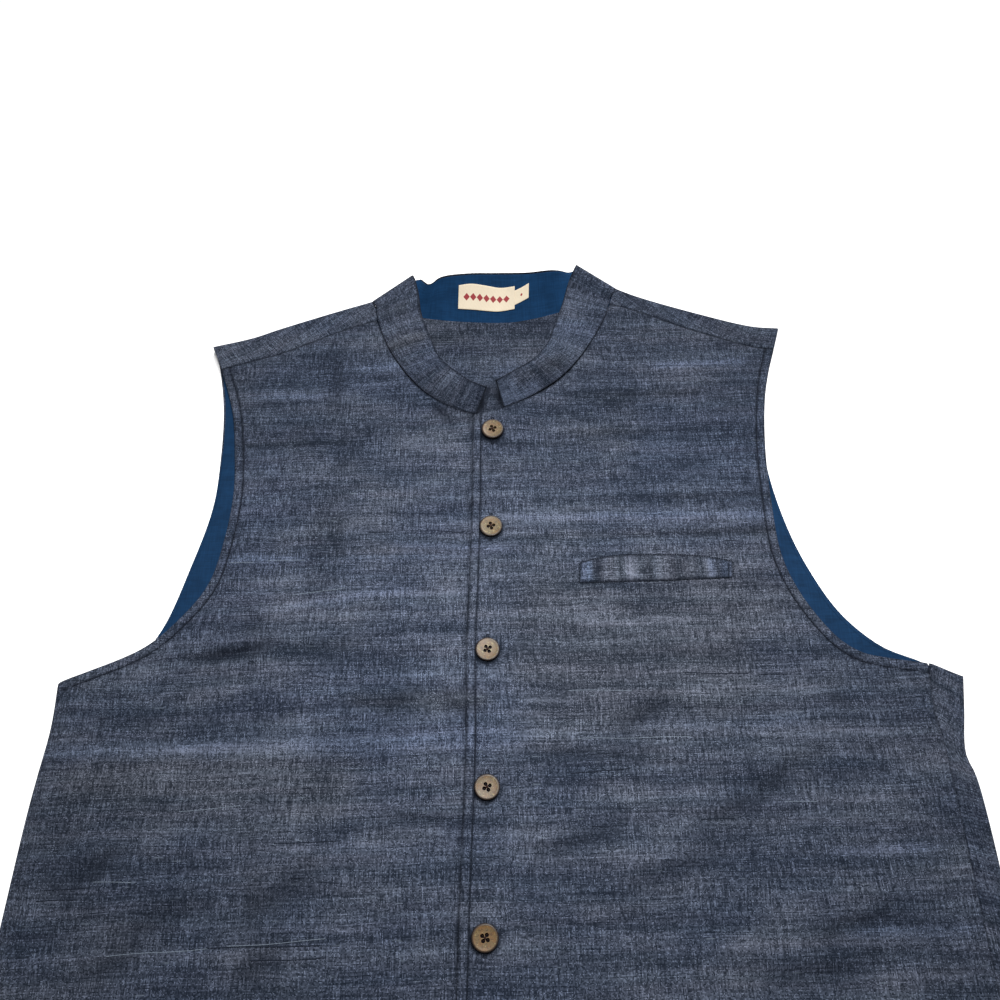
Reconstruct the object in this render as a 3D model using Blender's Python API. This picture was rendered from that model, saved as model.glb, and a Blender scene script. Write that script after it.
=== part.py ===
"""Sleeveless band-collar jacket (Nehru jacket), buttoned and laid flat on its back.

Frame: x runs to the wearer's left, y from the hem to the collar, z up from the surface.
The origin is on that surface, under the middle of the outline.
Sizes and tables are in millimetres, and points are scaled to metres when a mesh is made.
"""

import math
from collections import namedtuple

import bmesh
import bpy
import numpy as np

MM = 0.001
MERGE = 0.01 * MM

# Walls and clearances
BACK_WALL = 1.2
LINING_WALL = 1.0
FACING_WALL = 1.0
FRONT_WALL = 1.5
COLLAR_WALL = 1.2
COLLAR_LINING_WALL = 1.0
WELT_WALL = 1.2
LABEL_WALL = 1.0
GAP = 0.3

# Heights of the middle of each wall above the surface
BACK_Z = BACK_WALL / 2
LINING_Z = BACK_WALL + GAP + LINING_WALL / 2
FACING_Z = LINING_Z + LINING_WALL / 2 + GAP + FACING_WALL / 2
FRONT_Z = 5.0
SIDE_EDGE_Z = BACK_WALL + GAP + FRONT_WALL / 2
ARMHOLE_EDGE_Z = 4.0
LAP_RISE = FRONT_WALL + 0.6
NECK_RISE = 2.0
NECK_RISE_REACH = 28.0
SIDE_ROUND = 15.0

# How far from an edge a front's relief fades in
EDGE_FADE = 40.0
NECK_FADE = 30.0
SHOULDER_FADE = 24.0
ARMHOLE_DROP_REACH = 20.0
LAP_FADE = 30.0
LAP_MARGIN = 6.0

# Turned folds of the back panel over the shoulders and round the wearer's left side
FOLD_RADIUS = (FRONT_Z - BACK_Z) / 2
FOLD_STEPS = 4
FOLD_INSET = FOLD_RADIUS + BACK_WALL / 2

# Insets of what lies inside the back panel
LINING_X = (-304.0, 302.0)
LINING_ARMHOLE_INSET = 1.8
LINING_SHOULDER_INSET = 4.0
LINING_CORNER_INSET = 4.0
LINING_HEM_INSET = 10.0
LINING_NECK_INSET = 1.8
FACING_NECK_INSET = 0.8
COLLAR_SEAT = 0.9
COLLAR_BASE_TO_LINING = COLLAR_WALL / 2 + GAP + COLLAR_LINING_WALL / 2

# Cells of each panel's mesh
SIDE_ROWS = 10
ARMHOLE_ROWS = 16
SHOULDER_COLUMNS = 7
FRONT_NECK_COLUMNS = 13
BACK_NECK_COLUMNS = 12
COLLAR_ROWS = 4
COLLAR_CELLS = 3
FACING_CELLS = (16, 4)
WELT_CELLS = (12, 2)
LABEL_CELLS = (8, 4)
CURVE_CELLS = 24

# Outlines, as (x, y). The wearer's right is at -x.
HEM = [(-324, -364), (-170, -369), (0, -370), (170, -369), (325, -364)]
UNDER_EDGE_X = 6.0

SIDE_RIGHT = [(-324, -364), (-319, -200), (-316, -90), (-314.6, -67), (-312.1, -32), (-313.5, 0)]
SIDE_LEFT = [(325, -364), (320, -200), (316, -66), (312.1, -50), (317.2, -20), (321.5, 4)]
SIDE_SEAM_LEFT = [(305, -365), (300, -160), (298, -45), (295.5, -20), (298.5, 13.8)]

ARMHOLE_RIGHT_FRONT = [
    (-313.5, 0), (-294.4, 7.4), (-257, 25.4), (-235.6, 46.3), (-217.7, 74),
    (-210, 115), (-208.3, 150), (-211, 180), (-217.8, 222.4), (-231.5, 264),
]
ARMHOLE_RIGHT_BACK = [
    (-313.5, 0), (-288, 2), (-262, 14.5), (-246, 38.8), (-232.9, 87.2),
    (-223.9, 135), (-223.4, 182.5), (-227.1, 230.1), (-235.5, 270), (-241, 285),
]
ARMHOLE_LEFT_FRONT = [
    (298.5, 13.8), (269.8, 18), (254.2, 21.6), (241.2, 29.7), (230.7, 41.7), (215.6, 67.2),
    (205.6, 98), (203.4, 145), (204.6, 192), (209.6, 236), (215.9, 263.5), (222.3, 284.4),
]
ARMHOLE_LEFT_BACK = [
    (318.7, 4), (306, 9), (291, 17.2), (265.6, 28.4), (241.2, 52.6), (223.4, 88),
    (212.4, 124.1), (205.4, 170), (205.8, 222), (214, 264), (227.5, 304.2),
]

SHOULDER_RIGHT_FOLD = [(-241.7, 287.8), (-210, 296.8), (-188.1, 306.1), (-146.9, 322.3), (-111.5, 335.4)]
SHOULDER_RIGHT_SEAM = [
    (-231.5, 264), (-214.9, 269.8), (-188.2, 278.6), (-160.8, 290.6), (-128, 306.5), (-107, 313.8),
]
SHOULDER_LEFT_FOLD = [(94.3, 349.4), (112.2, 340.7), (159.9, 323.2), (207, 308.9), (228.5, 307)]
SHOULDER_LEFT_SEAM = [(88.8, 331.5), (110.7, 323.7), (157.5, 303.8), (203.7, 287), (222.3, 284.4)]

NECK_RIGHT = [
    (-107, 313.8), (-101.5, 297), (-93.9, 279.8), (-78.7, 256),
    (-62.6, 238.5), (-42.3, 225.7), (-23.8, 218.8), (6, 214.5),
]
NECK_LEFT = [
    (-25.2, 217.6), (-12, 220.5), (-1.2, 224.1), (23.2, 236.4), (44.5, 252.8),
    (60.6, 272.4), (75.3, 297.5), (84, 316.5), (88.8, 331.5),
]
NECK_BACK = [
    (-111.5, 332.4), (-90, 324.5), (-70.3, 318.7), (-32.8, 314.3),
    (8.4, 314.4), (45.1, 324.1), (70, 334.6), (92.5, 347.2),
]

PLACKET_EDGE = [
    (-32, -369.5), (-29.6, -192), (-28.5, -122), (-26.7, -50),
    (-27.2, 26), (-25.6, 95), (-25, 150), (-25.2, 217.6),
]

FACING_LOWER = [(-106, 322), (-96, 262), (-62, 212), (-8, 190), (48, 212), (82, 272), (88, 334)]

# Broad folds of the fronts: a soft ridge from one end to the other
Fold = namedtuple("Fold", "x0 y0 x1 y1 height width")
FOLDS = [
    (-300, -150, -170, -88, 2.6, 20),
    (-262, -232, -120, -150, 2.4, 22),
    (-128, -18, -58, -16, 1.4, 13),
    (-214, 46, -160, 34, 1.6, 14),
    (60, -42, 122, -2, 1.6, 15),
    (118, -88, 232, -28, 2.2, 18),
    (0, -142, 110, -98, 1.8, 18),
    (190, -168, 286, -120, 2.0, 20),
    (-60, -280, 96, -240, 2.0, 26),
    (120, -300, 270, -235, 2.4, 24),
    (-128, 246, -150, 190, 1.2, 13),
    (40, 150, 180, 170, 1.0, 24),
]

# Band collar from the wearer's right end round the back to the left end
Station = namedtuple("Station", "base_x base_y base_z rim_x rim_y rim_z bulge")
FRONT_STATIONS_RIGHT = (0, 6)
BACK_STATIONS = (10, 17)
FRONT_STATIONS_LEFT = (21, 27)
LABEL_STATIONS = (11, 17)
COLLAR_STATIONS = [
    (-22.6, 220.9, 8.2, -14.3, 229.0, 28.0, 0.0),
    (-42.2, 226.3, 8.2, -27.9, 236.5, 27.0, 1.0),
    (-61.8, 239.1, 8.2, -41.6, 248.9, 25.5, 1.5),
    (-81.6, 261.2, 8.0, -52.0, 262.0, 23.0, 1.5),
    (-93.8, 283.5, 7.6, -60.2, 283.8, 20.5, 1.0),
    (-103.3, 309.0, 7.0, -69.1, 311.7, 17.0, 0.5),
    (-107.4, 324.7, 6.5, -72.8, 336.6, 14.0, 0.3),
    (-109.9, 331.8, 6.6, -76.8, 352.2, 13.4, 0.0),
    (-110.8, 335.0, 3.8, -79.0, 356.2, 10.0, 0.0),
    (-108.0, 333.4, 1.3, -77.2, 354.0, 6.8, 0.0),
    (-93.7, 328.9, 1.3, -70.6, 350.0, 12.0, 1.0),
    (-70.6, 321.2, 1.3, -62.3, 337.9, 20.0, 2.0),
    (-56.7, 318.5, 1.3, -52.7, 339.2, 26.0, 1.5),
    (-32.9, 316.8, 1.3, -32.0, 340.9, 28.0, 1.0),
    (-7.8, 316.1, 1.3, -8.2, 340.9, 28.5, 1.0),
    (19.6, 318.9, 1.3, 18.1, 341.4, 28.5, 1.0),
    (45.3, 326.7, 1.3, 40.4, 346.6, 26.0, 1.5),
    (70.4, 337.4, 1.3, 54.0, 359.8, 10.0, 0.6),
    (89.2, 347.2, 1.3, 59.6, 365.2, 6.8, 0.0),
    (92.0, 348.9, 3.8, 61.2, 367.6, 10.0, 0.0),
    (91.3, 345.7, 6.6, 60.0, 363.6, 13.4, 0.0),
    (88.1, 335.3, 6.5, 54.0, 347.2, 14.0, 0.3),
    (84.1, 321.1, 7.0, 47.7, 321.0, 17.0, 0.5),
    (73.9, 297.7, 7.6, 39.3, 293.4, 20.5, 1.0),
    (59.3, 272.6, 8.6, 34.3, 276.0, 24.0, 1.5),
    (43.6, 253.2, 9.4, 24.0, 258.8, 26.5, 1.5),
    (21.6, 236.0, 9.8, 6.1, 243.8, 28.5, 1.0),
    (-1.0, 224.4, 9.8, -7.1, 234.0, 29.5, 0.0),
]

# Buttons
BUTTON_PLACES = [
    (-9.8, 203.0), (-10.6, 119.1), (-12.5, 22.7), (-12.2, -72.7), (-12.8, -164.5), (-13.6, -260.0),
]
BUTTON_LIFT = 0.5
BUTTON_SIDES = 16
BUTTON_PROFILE = [(7.4, 0.0), (8.5, 1.2), (8.1, 2.4), (7.4, 2.8), (6.2, 2.2)]
BUTTON_FOOT = 7.0
HOLE_RADIUS = 0.85
HOLE_OFFSET = 1.6
HOLE_SIDES = 6
HOLE_DEPTH = 12.0

# Welt of the chest pocket on the wearer's left
WELT_LOWER = [(54.5, 74.8), (110, 76.2), (166.5, 78.8)]
WELT_UPPER = [(55.3, 90.6), (77.4, 95.6), (110, 97.2), (143.9, 96), (167.9, 91.6)]

# Label and size tab, as (x, row along the collar's height from 0 at the base to 1 at the rim)
LABEL_X = (-38.0, 8.0)
LABEL_ROWS = (0.27, 0.77)
TAB_X = (8.8, 19.6)
TAB_ROWS = (0.38, 0.74)

SHELL_COLOUR = (0.075, 0.095, 0.135, 1.0)
LINING_COLOUR = (0.010, 0.060, 0.150, 1.0)
BUTTON_COLOUR = (0.30, 0.19, 0.11, 1.0)
LABEL_COLOUR = (0.80, 0.74, 0.60, 1.0)


def clear_scene():
    for old in list(bpy.data.objects):
        bpy.data.objects.remove(old, do_unlink=True)


def material(name, colour, roughness):
    made = bpy.data.materials.new(name)
    made.use_nodes = True
    shader = made.node_tree.nodes["Principled BSDF"]
    shader.inputs["Base Color"].default_value = colour
    shader.inputs["Roughness"].default_value = roughness
    shader.inputs["Metallic"].default_value = 0.0
    return made


def through(points, cells):
    """A smooth curve through the points, with this number of cells between each two of them."""
    p = np.asarray(points, float)
    ends = np.vstack([2 * p[0] - p[1], p, 2 * p[-1] - p[-2]])
    knots = np.concatenate([[0], np.cumsum(np.sqrt(np.linalg.norm(np.diff(ends, axis=0), axis=1)))])
    made = []
    for i in range(1, len(ends) - 2):
        k0, k1, k2, k3 = knots[i - 1:i + 3]
        k = np.linspace(k1, k2, cells, endpoint=False)[:, None]
        a1 = (k1 - k) / (k1 - k0) * ends[i - 1] + (k - k0) / (k1 - k0) * ends[i]
        a2 = (k2 - k) / (k2 - k1) * ends[i] + (k - k1) / (k2 - k1) * ends[i + 1]
        a3 = (k3 - k) / (k3 - k2) * ends[i + 1] + (k - k2) / (k3 - k2) * ends[i + 2]
        b1 = (k2 - k) / (k2 - k0) * a1 + (k - k0) / (k2 - k0) * a2
        b2 = (k3 - k) / (k3 - k1) * a2 + (k - k1) / (k3 - k1) * a3
        made.append((k2 - k) / (k2 - k1) * b1 + (k - k1) / (k2 - k1) * b2)
    made.append(p[-1:])
    return np.vstack(made)


def smooth_curve(points, cells):
    """cells + 1 points, equally spaced along a smooth curve through the given points."""
    return spaced(through(points, CURVE_CELLS), cells)


def spaced(points, cells):
    """cells + 1 points, equally spaced along the polyline."""
    along = np.concatenate([[0], np.cumsum(np.linalg.norm(np.diff(points, axis=0), axis=1))])
    at = np.linspace(0, along[-1], cells + 1)
    return np.stack([np.interp(at, along, axis) for axis in points.T], axis=1)


def joined(*curves):
    """Curves end to end, with each shared point once."""
    return np.vstack([curves[0]] + [c[1:] for c in curves[1:]])


def unit(vectors):
    return vectors / np.linalg.norm(vectors, axis=-1, keepdims=True)


def to_right(curve):
    """Unit vectors in plan that point to the right of the curve, as one walks along it."""
    along = unit(np.gradient(curve, axis=0))
    return np.stack([along[:, 1], -along[:, 0]], axis=1)


def shifted(curve, by):
    """The curve moved sideways in plan, to its right where by is positive."""
    return curve + by * to_right(curve)


def patch(bottom, top, left, right):
    """Rows of (x, y) points that fill four edges. bottom and top run along +x, left and right up."""
    s = np.linspace(0, 1, len(bottom))[None, :, None]
    t = np.linspace(0, 1, len(left))[:, None, None]
    across = (1 - t) * bottom[None] + t * top[None]
    upward = (1 - s) * left[:, None] + s * right[:, None]
    corners = (1 - t) * ((1 - s) * bottom[0] + s * bottom[-1]) + t * ((1 - s) * top[0] + s * top[-1])
    return across + upward - corners


def at_height(rows, z):
    """(x, y) rows with a third coordinate, a number or an array."""
    return np.dstack([rows, np.broadcast_to(z, rows.shape[:2])])


def distance_to(rows, curve):
    return np.linalg.norm(rows[:, :, None, :2] - curve[None, None, :, :2], axis=3).min(axis=2)


def smooth_step(t):
    t = np.clip(t, 0, 1)
    return t * t * (3 - 2 * t)


def add_grid(bm, rows):
    """A sheet of quads through the rows of points."""
    count_y, count_x = rows.shape[:2]
    made = bmesh.ops.create_grid(bm, x_segments=count_x - 1, y_segments=count_y - 1, size=0.5)
    for vert in made["verts"]:
        column = round((vert.co.x + 0.5) * (count_x - 1))
        row = round((vert.co.y + 0.5) * (count_y - 1))
        vert.co = rows[row, column] * MM


def add_object(name, mesh, finish):
    mesh.materials.append(finish)
    made = bpy.data.objects.new(name, mesh)
    bpy.context.scene.collection.objects.link(made)
    return made


def add_wall(name, grids, wall, finish):
    """One sheet of cloth from grids that share edges, given its thickness on both sides."""
    bm = bmesh.new()
    for rows in grids:
        add_grid(bm, rows)
    bmesh.ops.remove_doubles(bm, verts=bm.verts, dist=MERGE)
    bmesh.ops.recalc_face_normals(bm, faces=bm.faces)
    mesh = bpy.data.meshes.new(name)
    bm.to_mesh(mesh)
    bm.free()
    mesh.shade_smooth()
    made = add_object(name, mesh, finish)
    thickness = made.modifiers.new("Wall", "SOLIDIFY")
    thickness.thickness = wall * MM
    thickness.offset = 0.0
    thickness.use_even_offset = True
    return made


def turned_over(start, outward, end):
    """Rows that leave start flat, turn over a fold and lie on top as far as end."""
    rows = [at_height(start[None], BACK_Z)[0]]
    for step in range(1, FOLD_STEPS + 1):
        angle = math.pi * step / FOLD_STEPS
        plan = start + FOLD_RADIUS * math.sin(angle) * outward
        z = BACK_Z + FOLD_RADIUS * (1 - math.cos(angle))
        rows.append(at_height(plan[None], z)[0])
    for share in (0.5, 1.0):
        plan = (1 - share) * start + share * end
        rows.append(at_height(plan[None], FRONT_Z)[0])
    return np.array(rows)


def back_edges():
    """The flat part of the back: its edges up to the start of each fold."""
    side_right = smooth_curve(SIDE_RIGHT, SIDE_ROWS)
    side_left = shifted(smooth_curve(SIDE_LEFT, SIDE_ROWS), -FOLD_INSET)
    shoulder_right = shifted(smooth_curve(SHOULDER_RIGHT_FOLD, SHOULDER_COLUMNS), FOLD_INSET)
    shoulder_left = shifted(smooth_curve(SHOULDER_LEFT_FOLD, SHOULDER_COLUMNS), FOLD_INSET)
    neck = smooth_curve(NECK_BACK, BACK_NECK_COLUMNS)
    neck[0] = shoulder_right[-1]
    neck[-1] = shoulder_left[0]
    armhole_right = smooth_curve(ARMHOLE_RIGHT_BACK, ARMHOLE_ROWS)
    armhole_left = smooth_curve(ARMHOLE_LEFT_BACK, ARMHOLE_ROWS)
    armhole_right[-1] = shoulder_right[0]
    armhole_left[0] = side_left[-1]
    armhole_left[-1] = shoulder_left[-1]
    top = joined(shoulder_right, neck, shoulder_left)
    bottom = smooth_curve(HEM, len(top) - 1)
    bottom[-1] = side_left[0]
    return bottom, top, joined(side_right, armhole_right), joined(side_left, armhole_left)


def build_back(finish):
    bottom, top, left, right = back_edges()
    flat = at_height(patch(bottom, top, left, right), BACK_Z)
    shoulder_right = top[:SHOULDER_COLUMNS + 1]
    shoulder_left = top[-SHOULDER_COLUMNS - 1:]
    side_left = right[:SIDE_ROWS + 1]
    half_gap = GAP / 2
    seam_right = shifted(smooth_curve(SHOULDER_RIGHT_SEAM, SHOULDER_COLUMNS), -half_gap)
    seam_left = shifted(smooth_curve(SHOULDER_LEFT_SEAM, SHOULDER_COLUMNS), -half_gap)
    seam_side = shifted(smooth_curve(SIDE_SEAM_LEFT, SIDE_ROWS), half_gap)
    grids = [
        flat,
        turned_over(shoulder_right, -to_right(shoulder_right), seam_right),
        turned_over(shoulder_left, -to_right(shoulder_left), seam_left),
        turned_over(side_left, to_right(side_left), seam_side),
    ]
    add_wall("back", grids, BACK_WALL, finish)


def build_back_lining(finish):
    bottom, top, left, right = back_edges()
    left = shifted(left, LINING_ARMHOLE_INSET)
    right = shifted(right, -LINING_ARMHOLE_INSET)
    neck = top[SHOULDER_COLUMNS + 1:-SHOULDER_COLUMNS - 1]
    top = shifted(top, LINING_SHOULDER_INSET)
    top[SHOULDER_COLUMNS + 1:-SHOULDER_COLUMNS - 1] = neck - (0.0, LINING_NECK_INSET)
    left[:, 0] = np.maximum(left[:, 0], LINING_X[0])
    right[:, 0] = np.minimum(right[:, 0], LINING_X[1])
    left[-1] = top[0] + (LINING_CORNER_INSET, 0)
    right[-1] = top[-1] - (LINING_CORNER_INSET, 0)
    top[0] = left[-1]
    top[-1] = right[-1]
    bottom = bottom + (0.0, LINING_HEM_INSET)
    bottom[0] = (left[0, 0], left[0, 1] + LINING_HEM_INSET)
    bottom[-1] = (right[0, 0], right[0, 1] + LINING_HEM_INSET)
    left[0] = bottom[0]
    right[0] = bottom[-1]
    rows = patch(bottom, top, left, right)[::2, ::2]
    add_wall("back_lining", [at_height(rows, LINING_Z)], LINING_WALL, finish)


def build_neck_facing(finish):
    neck = smooth_curve(NECK_BACK, BACK_NECK_COLUMNS)[1:-1]
    upper = spaced(neck - (0.0, FACING_NECK_INSET), FACING_CELLS[0])
    lower = smooth_curve(FACING_LOWER, FACING_CELLS[0])
    left = spaced(np.array([lower[0], upper[0]]), FACING_CELLS[1])
    right = spaced(np.array([lower[-1], upper[-1]]), FACING_CELLS[1])
    rows = patch(lower, upper, left, right)
    add_wall("neck_facing", [at_height(rows, FACING_Z)], FACING_WALL, finish)


def fold_height(rows):
    """Sum of the broad folds at each point, each fading out past its ends."""
    total = np.zeros(rows.shape[:2])
    for fold in map(Fold._make, FOLDS):
        along = np.array([fold.x1 - fold.x0, fold.y1 - fold.y0], float)
        length = np.linalg.norm(along)
        along /= length
        x = rows[:, :, 0] - fold.x0
        y = rows[:, :, 1] - fold.y0
        run = x * along[0] + y * along[1]
        off = y * along[0] - x * along[1]
        beyond = np.maximum(0, np.maximum(-run, run - length))
        total += fold.height * np.exp(-(off / fold.width) ** 2 - (beyond / fold.width) ** 2)
    return total


def front_height(rows, side, armhole, shoulder, side_edge):
    """Height of the middle of a front's wall: lower at its side and armhole, raised at the neck."""
    neck = np.vstack([through(NECK_RIGHT, CURVE_CELLS), through(NECK_LEFT, CURVE_CELLS)])
    from_side = distance_to(rows, side)
    from_armhole = distance_to(rows, armhole)
    from_neck = distance_to(rows, neck)
    from_shoulder = distance_to(rows, shoulder)
    relief = fold_height(rows) * smooth_step(from_neck / NECK_FADE)
    for distance in (from_side, from_armhole, from_shoulder):
        relief *= smooth_step(distance / EDGE_FADE)
    off_shoulder = smooth_step(from_shoulder / SHOULDER_FADE)
    neck_rise = NECK_RISE * (1 - smooth_step(from_neck / NECK_RISE_REACH))
    armhole_drop = (FRONT_Z - ARMHOLE_EDGE_Z) * (1 - smooth_step(from_armhole / ARMHOLE_DROP_REACH))
    height = FRONT_Z + relief + (neck_rise - armhole_drop) * off_shoulder
    if side_edge:
        roundness = 1 - np.sin(0.5 * math.pi * np.minimum(1, from_side / SIDE_ROUND))
        height -= (height - SIDE_EDGE_Z) * roundness
    return height


def build_front_right(finish):
    """The under front: its straight edge lies beneath the other front at the placket."""
    side = smooth_curve(SIDE_RIGHT, SIDE_ROWS)
    armhole = smooth_curve(ARMHOLE_RIGHT_FRONT, ARMHOLE_ROWS)
    shoulder = smooth_curve(SHOULDER_RIGHT_SEAM, SHOULDER_COLUMNS)
    neck = smooth_curve(NECK_RIGHT, FRONT_NECK_COLUMNS)
    top = shifted(joined(shoulder, neck), GAP / 2)
    left = joined(side, armhole)
    left[-1] = top[0]
    hem = smooth_curve(HEM[:2] + [(UNDER_EDGE_X, PLACKET_EDGE[0][1])], len(top) - 1)
    edge = spaced(np.array([hem[-1], top[-1]]), len(left) - 1)
    rows = patch(hem, top, left, edge)
    height = front_height(rows, side, armhole, shoulder, side_edge=True)
    over_lap = smooth_step((rows[:, :, 0] - PLACKET_EDGE[0][0] + LAP_FADE) / (LAP_FADE - LAP_MARGIN))
    height -= fold_height(rows) * over_lap
    add_wall("front_right", [at_height(rows, height)], FRONT_WALL, finish)


def front_left_rows():
    """The over front: it laps the under one by the placket, and meets the back at its side seam."""
    side = shifted(smooth_curve(SIDE_SEAM_LEFT, SIDE_ROWS), -GAP / 2)
    armhole = smooth_curve(ARMHOLE_LEFT_FRONT, ARMHOLE_ROWS)
    shoulder = smooth_curve(SHOULDER_LEFT_SEAM, SHOULDER_COLUMNS)
    neck = smooth_curve(NECK_LEFT, FRONT_NECK_COLUMNS)
    top = shifted(joined(neck, shoulder), GAP / 2)
    top[0] = neck[0]
    right = joined(side, armhole)
    right[-1] = top[-1]
    edge = smooth_curve(PLACKET_EDGE, len(right) - 1)
    edge[-1] = top[0]
    hem = smooth_curve([PLACKET_EDGE[0], HEM[3], side[0]], len(top) - 1)
    rows = patch(hem, top, edge, right)
    height = front_height(rows, side, armhole, shoulder, side_edge=False)
    lap = 1 - smooth_step((rows[:, :, 0] - UNDER_EDGE_X - LAP_MARGIN) / LAP_FADE)
    height -= fold_height(rows) * lap
    height += LAP_RISE * lap
    return at_height(rows, height)


def height_on(rows, x, y):
    """Height of a sheet's surface near a place, from its four nearest points."""
    off = np.hypot(rows[:, :, 0] - x, rows[:, :, 1] - y).ravel()
    nearest = np.argsort(off)[:4]
    weight = 1 / (off[nearest] + 0.01)
    return float((rows[:, :, 2].ravel()[nearest] * weight).sum() / weight.sum())


def build_pocket_welt(front, finish):
    lower = smooth_curve(WELT_LOWER, WELT_CELLS[0])
    upper = smooth_curve(WELT_UPPER, WELT_CELLS[0])
    left = spaced(np.array([lower[0], upper[0]]), WELT_CELLS[1])
    right = spaced(np.array([lower[-1], upper[-1]]), WELT_CELLS[1])
    rows = patch(lower, upper, left, right)
    lift = FRONT_WALL / 2 + GAP + WELT_WALL / 2
    height = np.array([[height_on(front, x, y) for x, y in row] for row in rows])
    add_wall("pocket_welt", [at_height(rows, height + lift)], WELT_WALL, finish)


def neck_edges():
    """The panels' edges that the collar is sewn to: right front, back and left front."""
    _, top, _, _ = back_edges()
    right = joined(top[SHOULDER_COLUMNS][None], smooth_curve(NECK_RIGHT, FRONT_NECK_COLUMNS)[:-1])
    back = top[SHOULDER_COLUMNS:-SHOULDER_COLUMNS]
    left = joined(smooth_curve(NECK_LEFT, FRONT_NECK_COLUMNS), top[-SHOULDER_COLUMNS - 1][None])
    return right, back, left


def nearest_on(curve, point):
    """The nearest place to the point on the polyline, and the direction of the polyline there."""
    start, step = curve[:-1], np.diff(curve, axis=0)
    share = ((point - start) * step).sum(axis=1) / (step ** 2).sum(axis=1)
    places = start + np.clip(share, 0, 1)[:, None] * step
    best = np.linalg.norm(places - point, axis=1).argmin()
    return places[best], step[best] / np.linalg.norm(step[best])


def seat(base, stations, edge):
    """Moves the base of the collar between two stations to its clearance from a panel's edge."""
    for i in range(stations[0] * COLLAR_CELLS, stations[1] * COLLAR_CELLS + 1):
        place, along = nearest_on(edge, base[i, :2])
        base[i, :2] = place + COLLAR_SEAT * np.array([-along[1], along[0]])


def collar_rows():
    """Rows of points on the middle of the collar's outer face, from its base to its rim."""
    stations = [Station(*row) for row in COLLAR_STATIONS]
    base = through([(s.base_x, s.base_y, s.base_z) for s in stations], COLLAR_CELLS)
    rim = through([(s.rim_x, s.rim_y, s.rim_z) for s in stations], COLLAR_CELLS)
    right, back, left = neck_edges()
    seat(base, FRONT_STATIONS_RIGHT, right)
    seat(base, BACK_STATIONS, back)
    seat(base, FRONT_STATIONS_LEFT, left)
    at = np.arange(len(base)) / COLLAR_CELLS
    bulge = np.interp(at, np.arange(len(stations)), [s.bulge for s in stations])
    rise = rim - base
    out = unit(np.cross(rise, np.gradient(base, axis=0)))
    shares = np.linspace(0, 1, COLLAR_ROWS + 1)
    return np.array([base + v * rise + (4 * v * (1 - v) * bulge)[:, None] * out for v in shares])


def moved_in(rows, by):
    """Rows moved along the sheet's normal, towards the inside of the collar, evenly round its folds."""
    steps = unit(np.diff(rows, axis=1))
    turns = np.concatenate([2 * steps[:, :1], steps[:, :-1] + steps[:, 1:], 2 * steps[:, -1:]], axis=1)
    half_turn = np.maximum(0.7, np.linalg.norm(turns, axis=2, keepdims=True) / 2)
    out = unit(np.cross(np.gradient(rows, axis=0), turns))
    return rows - by / half_turn * out


def build_collar(shell, lining):
    outer = collar_rows()
    add_wall("collar_outer", [outer], COLLAR_WALL, shell)
    inner = moved_in(outer, COLLAR_BASE_TO_LINING)
    add_wall("collar_inner", [inner], COLLAR_LINING_WALL, lining)
    return inner


def on_collar(inner, x_range, row_range):
    """Rows of points on the inner collar's back half, between two x and two shares of its height."""
    first, last = (COLLAR_CELLS * station for station in LABEL_STATIONS)
    xs = np.linspace(x_range[0], x_range[1], LABEL_CELLS[0] + 1)
    rows = []
    for share in np.linspace(row_range[0], row_range[1], LABEL_CELLS[1] + 1):
        at = share * COLLAR_ROWS
        low = min(int(at), COLLAR_ROWS - 1)
        line = inner[low] + (at - low) * (inner[low + 1] - inner[low])
        line = line[first:last + 1]
        y = np.interp(xs, line[:, 0], line[:, 1])
        z = np.interp(xs, line[:, 0], line[:, 2])
        rows.append(np.stack([xs, y, z], axis=1))
    return np.array(rows)


def build_label(inner, name, x_range, row_range, finish):
    lift = COLLAR_LINING_WALL / 2 + GAP + LABEL_WALL / 2
    rows = on_collar(inner, x_range, row_range)
    add_wall(name, [moved_in(rows, lift)], LABEL_WALL, finish)


def turned_button():
    """A dished disc with a raised rim, turned about z."""
    bm = bmesh.new()
    ring = [bm.verts.new((r * MM, 0, z * MM)) for r, z in BUTTON_PROFILE]
    edges = [bm.edges.new(pair) for pair in zip(ring, ring[1:])]
    bmesh.ops.spin(
        bm, geom=ring + edges, cent=(0, 0, 0), axis=(0, 0, 1), angle=2 * math.pi,
        steps=BUTTON_SIDES, use_merge=True,
    )
    bmesh.ops.remove_doubles(bm, verts=bm.verts, dist=MERGE)
    bmesh.ops.holes_fill(bm, edges=[e for e in bm.edges if e.is_boundary], sides=0)
    bmesh.ops.recalc_face_normals(bm, faces=bm.faces)
    mesh = bpy.data.meshes.new("button_blank")
    bm.to_mesh(mesh)
    bm.free()
    return mesh


def hole_cutter():
    bm = bmesh.new()
    for sx in (-1, 1):
        for sy in (-1, 1):
            made = bmesh.ops.create_cone(
                bm, cap_ends=True, segments=HOLE_SIDES, radius1=HOLE_RADIUS * MM,
                radius2=HOLE_RADIUS * MM, depth=HOLE_DEPTH * MM,
            )
            offset = (sx * HOLE_OFFSET * MM, sy * HOLE_OFFSET * MM, 0)
            bmesh.ops.translate(bm, verts=made["verts"], vec=offset)
    mesh = bpy.data.meshes.new("button_holes")
    bm.to_mesh(mesh)
    bm.free()
    return mesh


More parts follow.
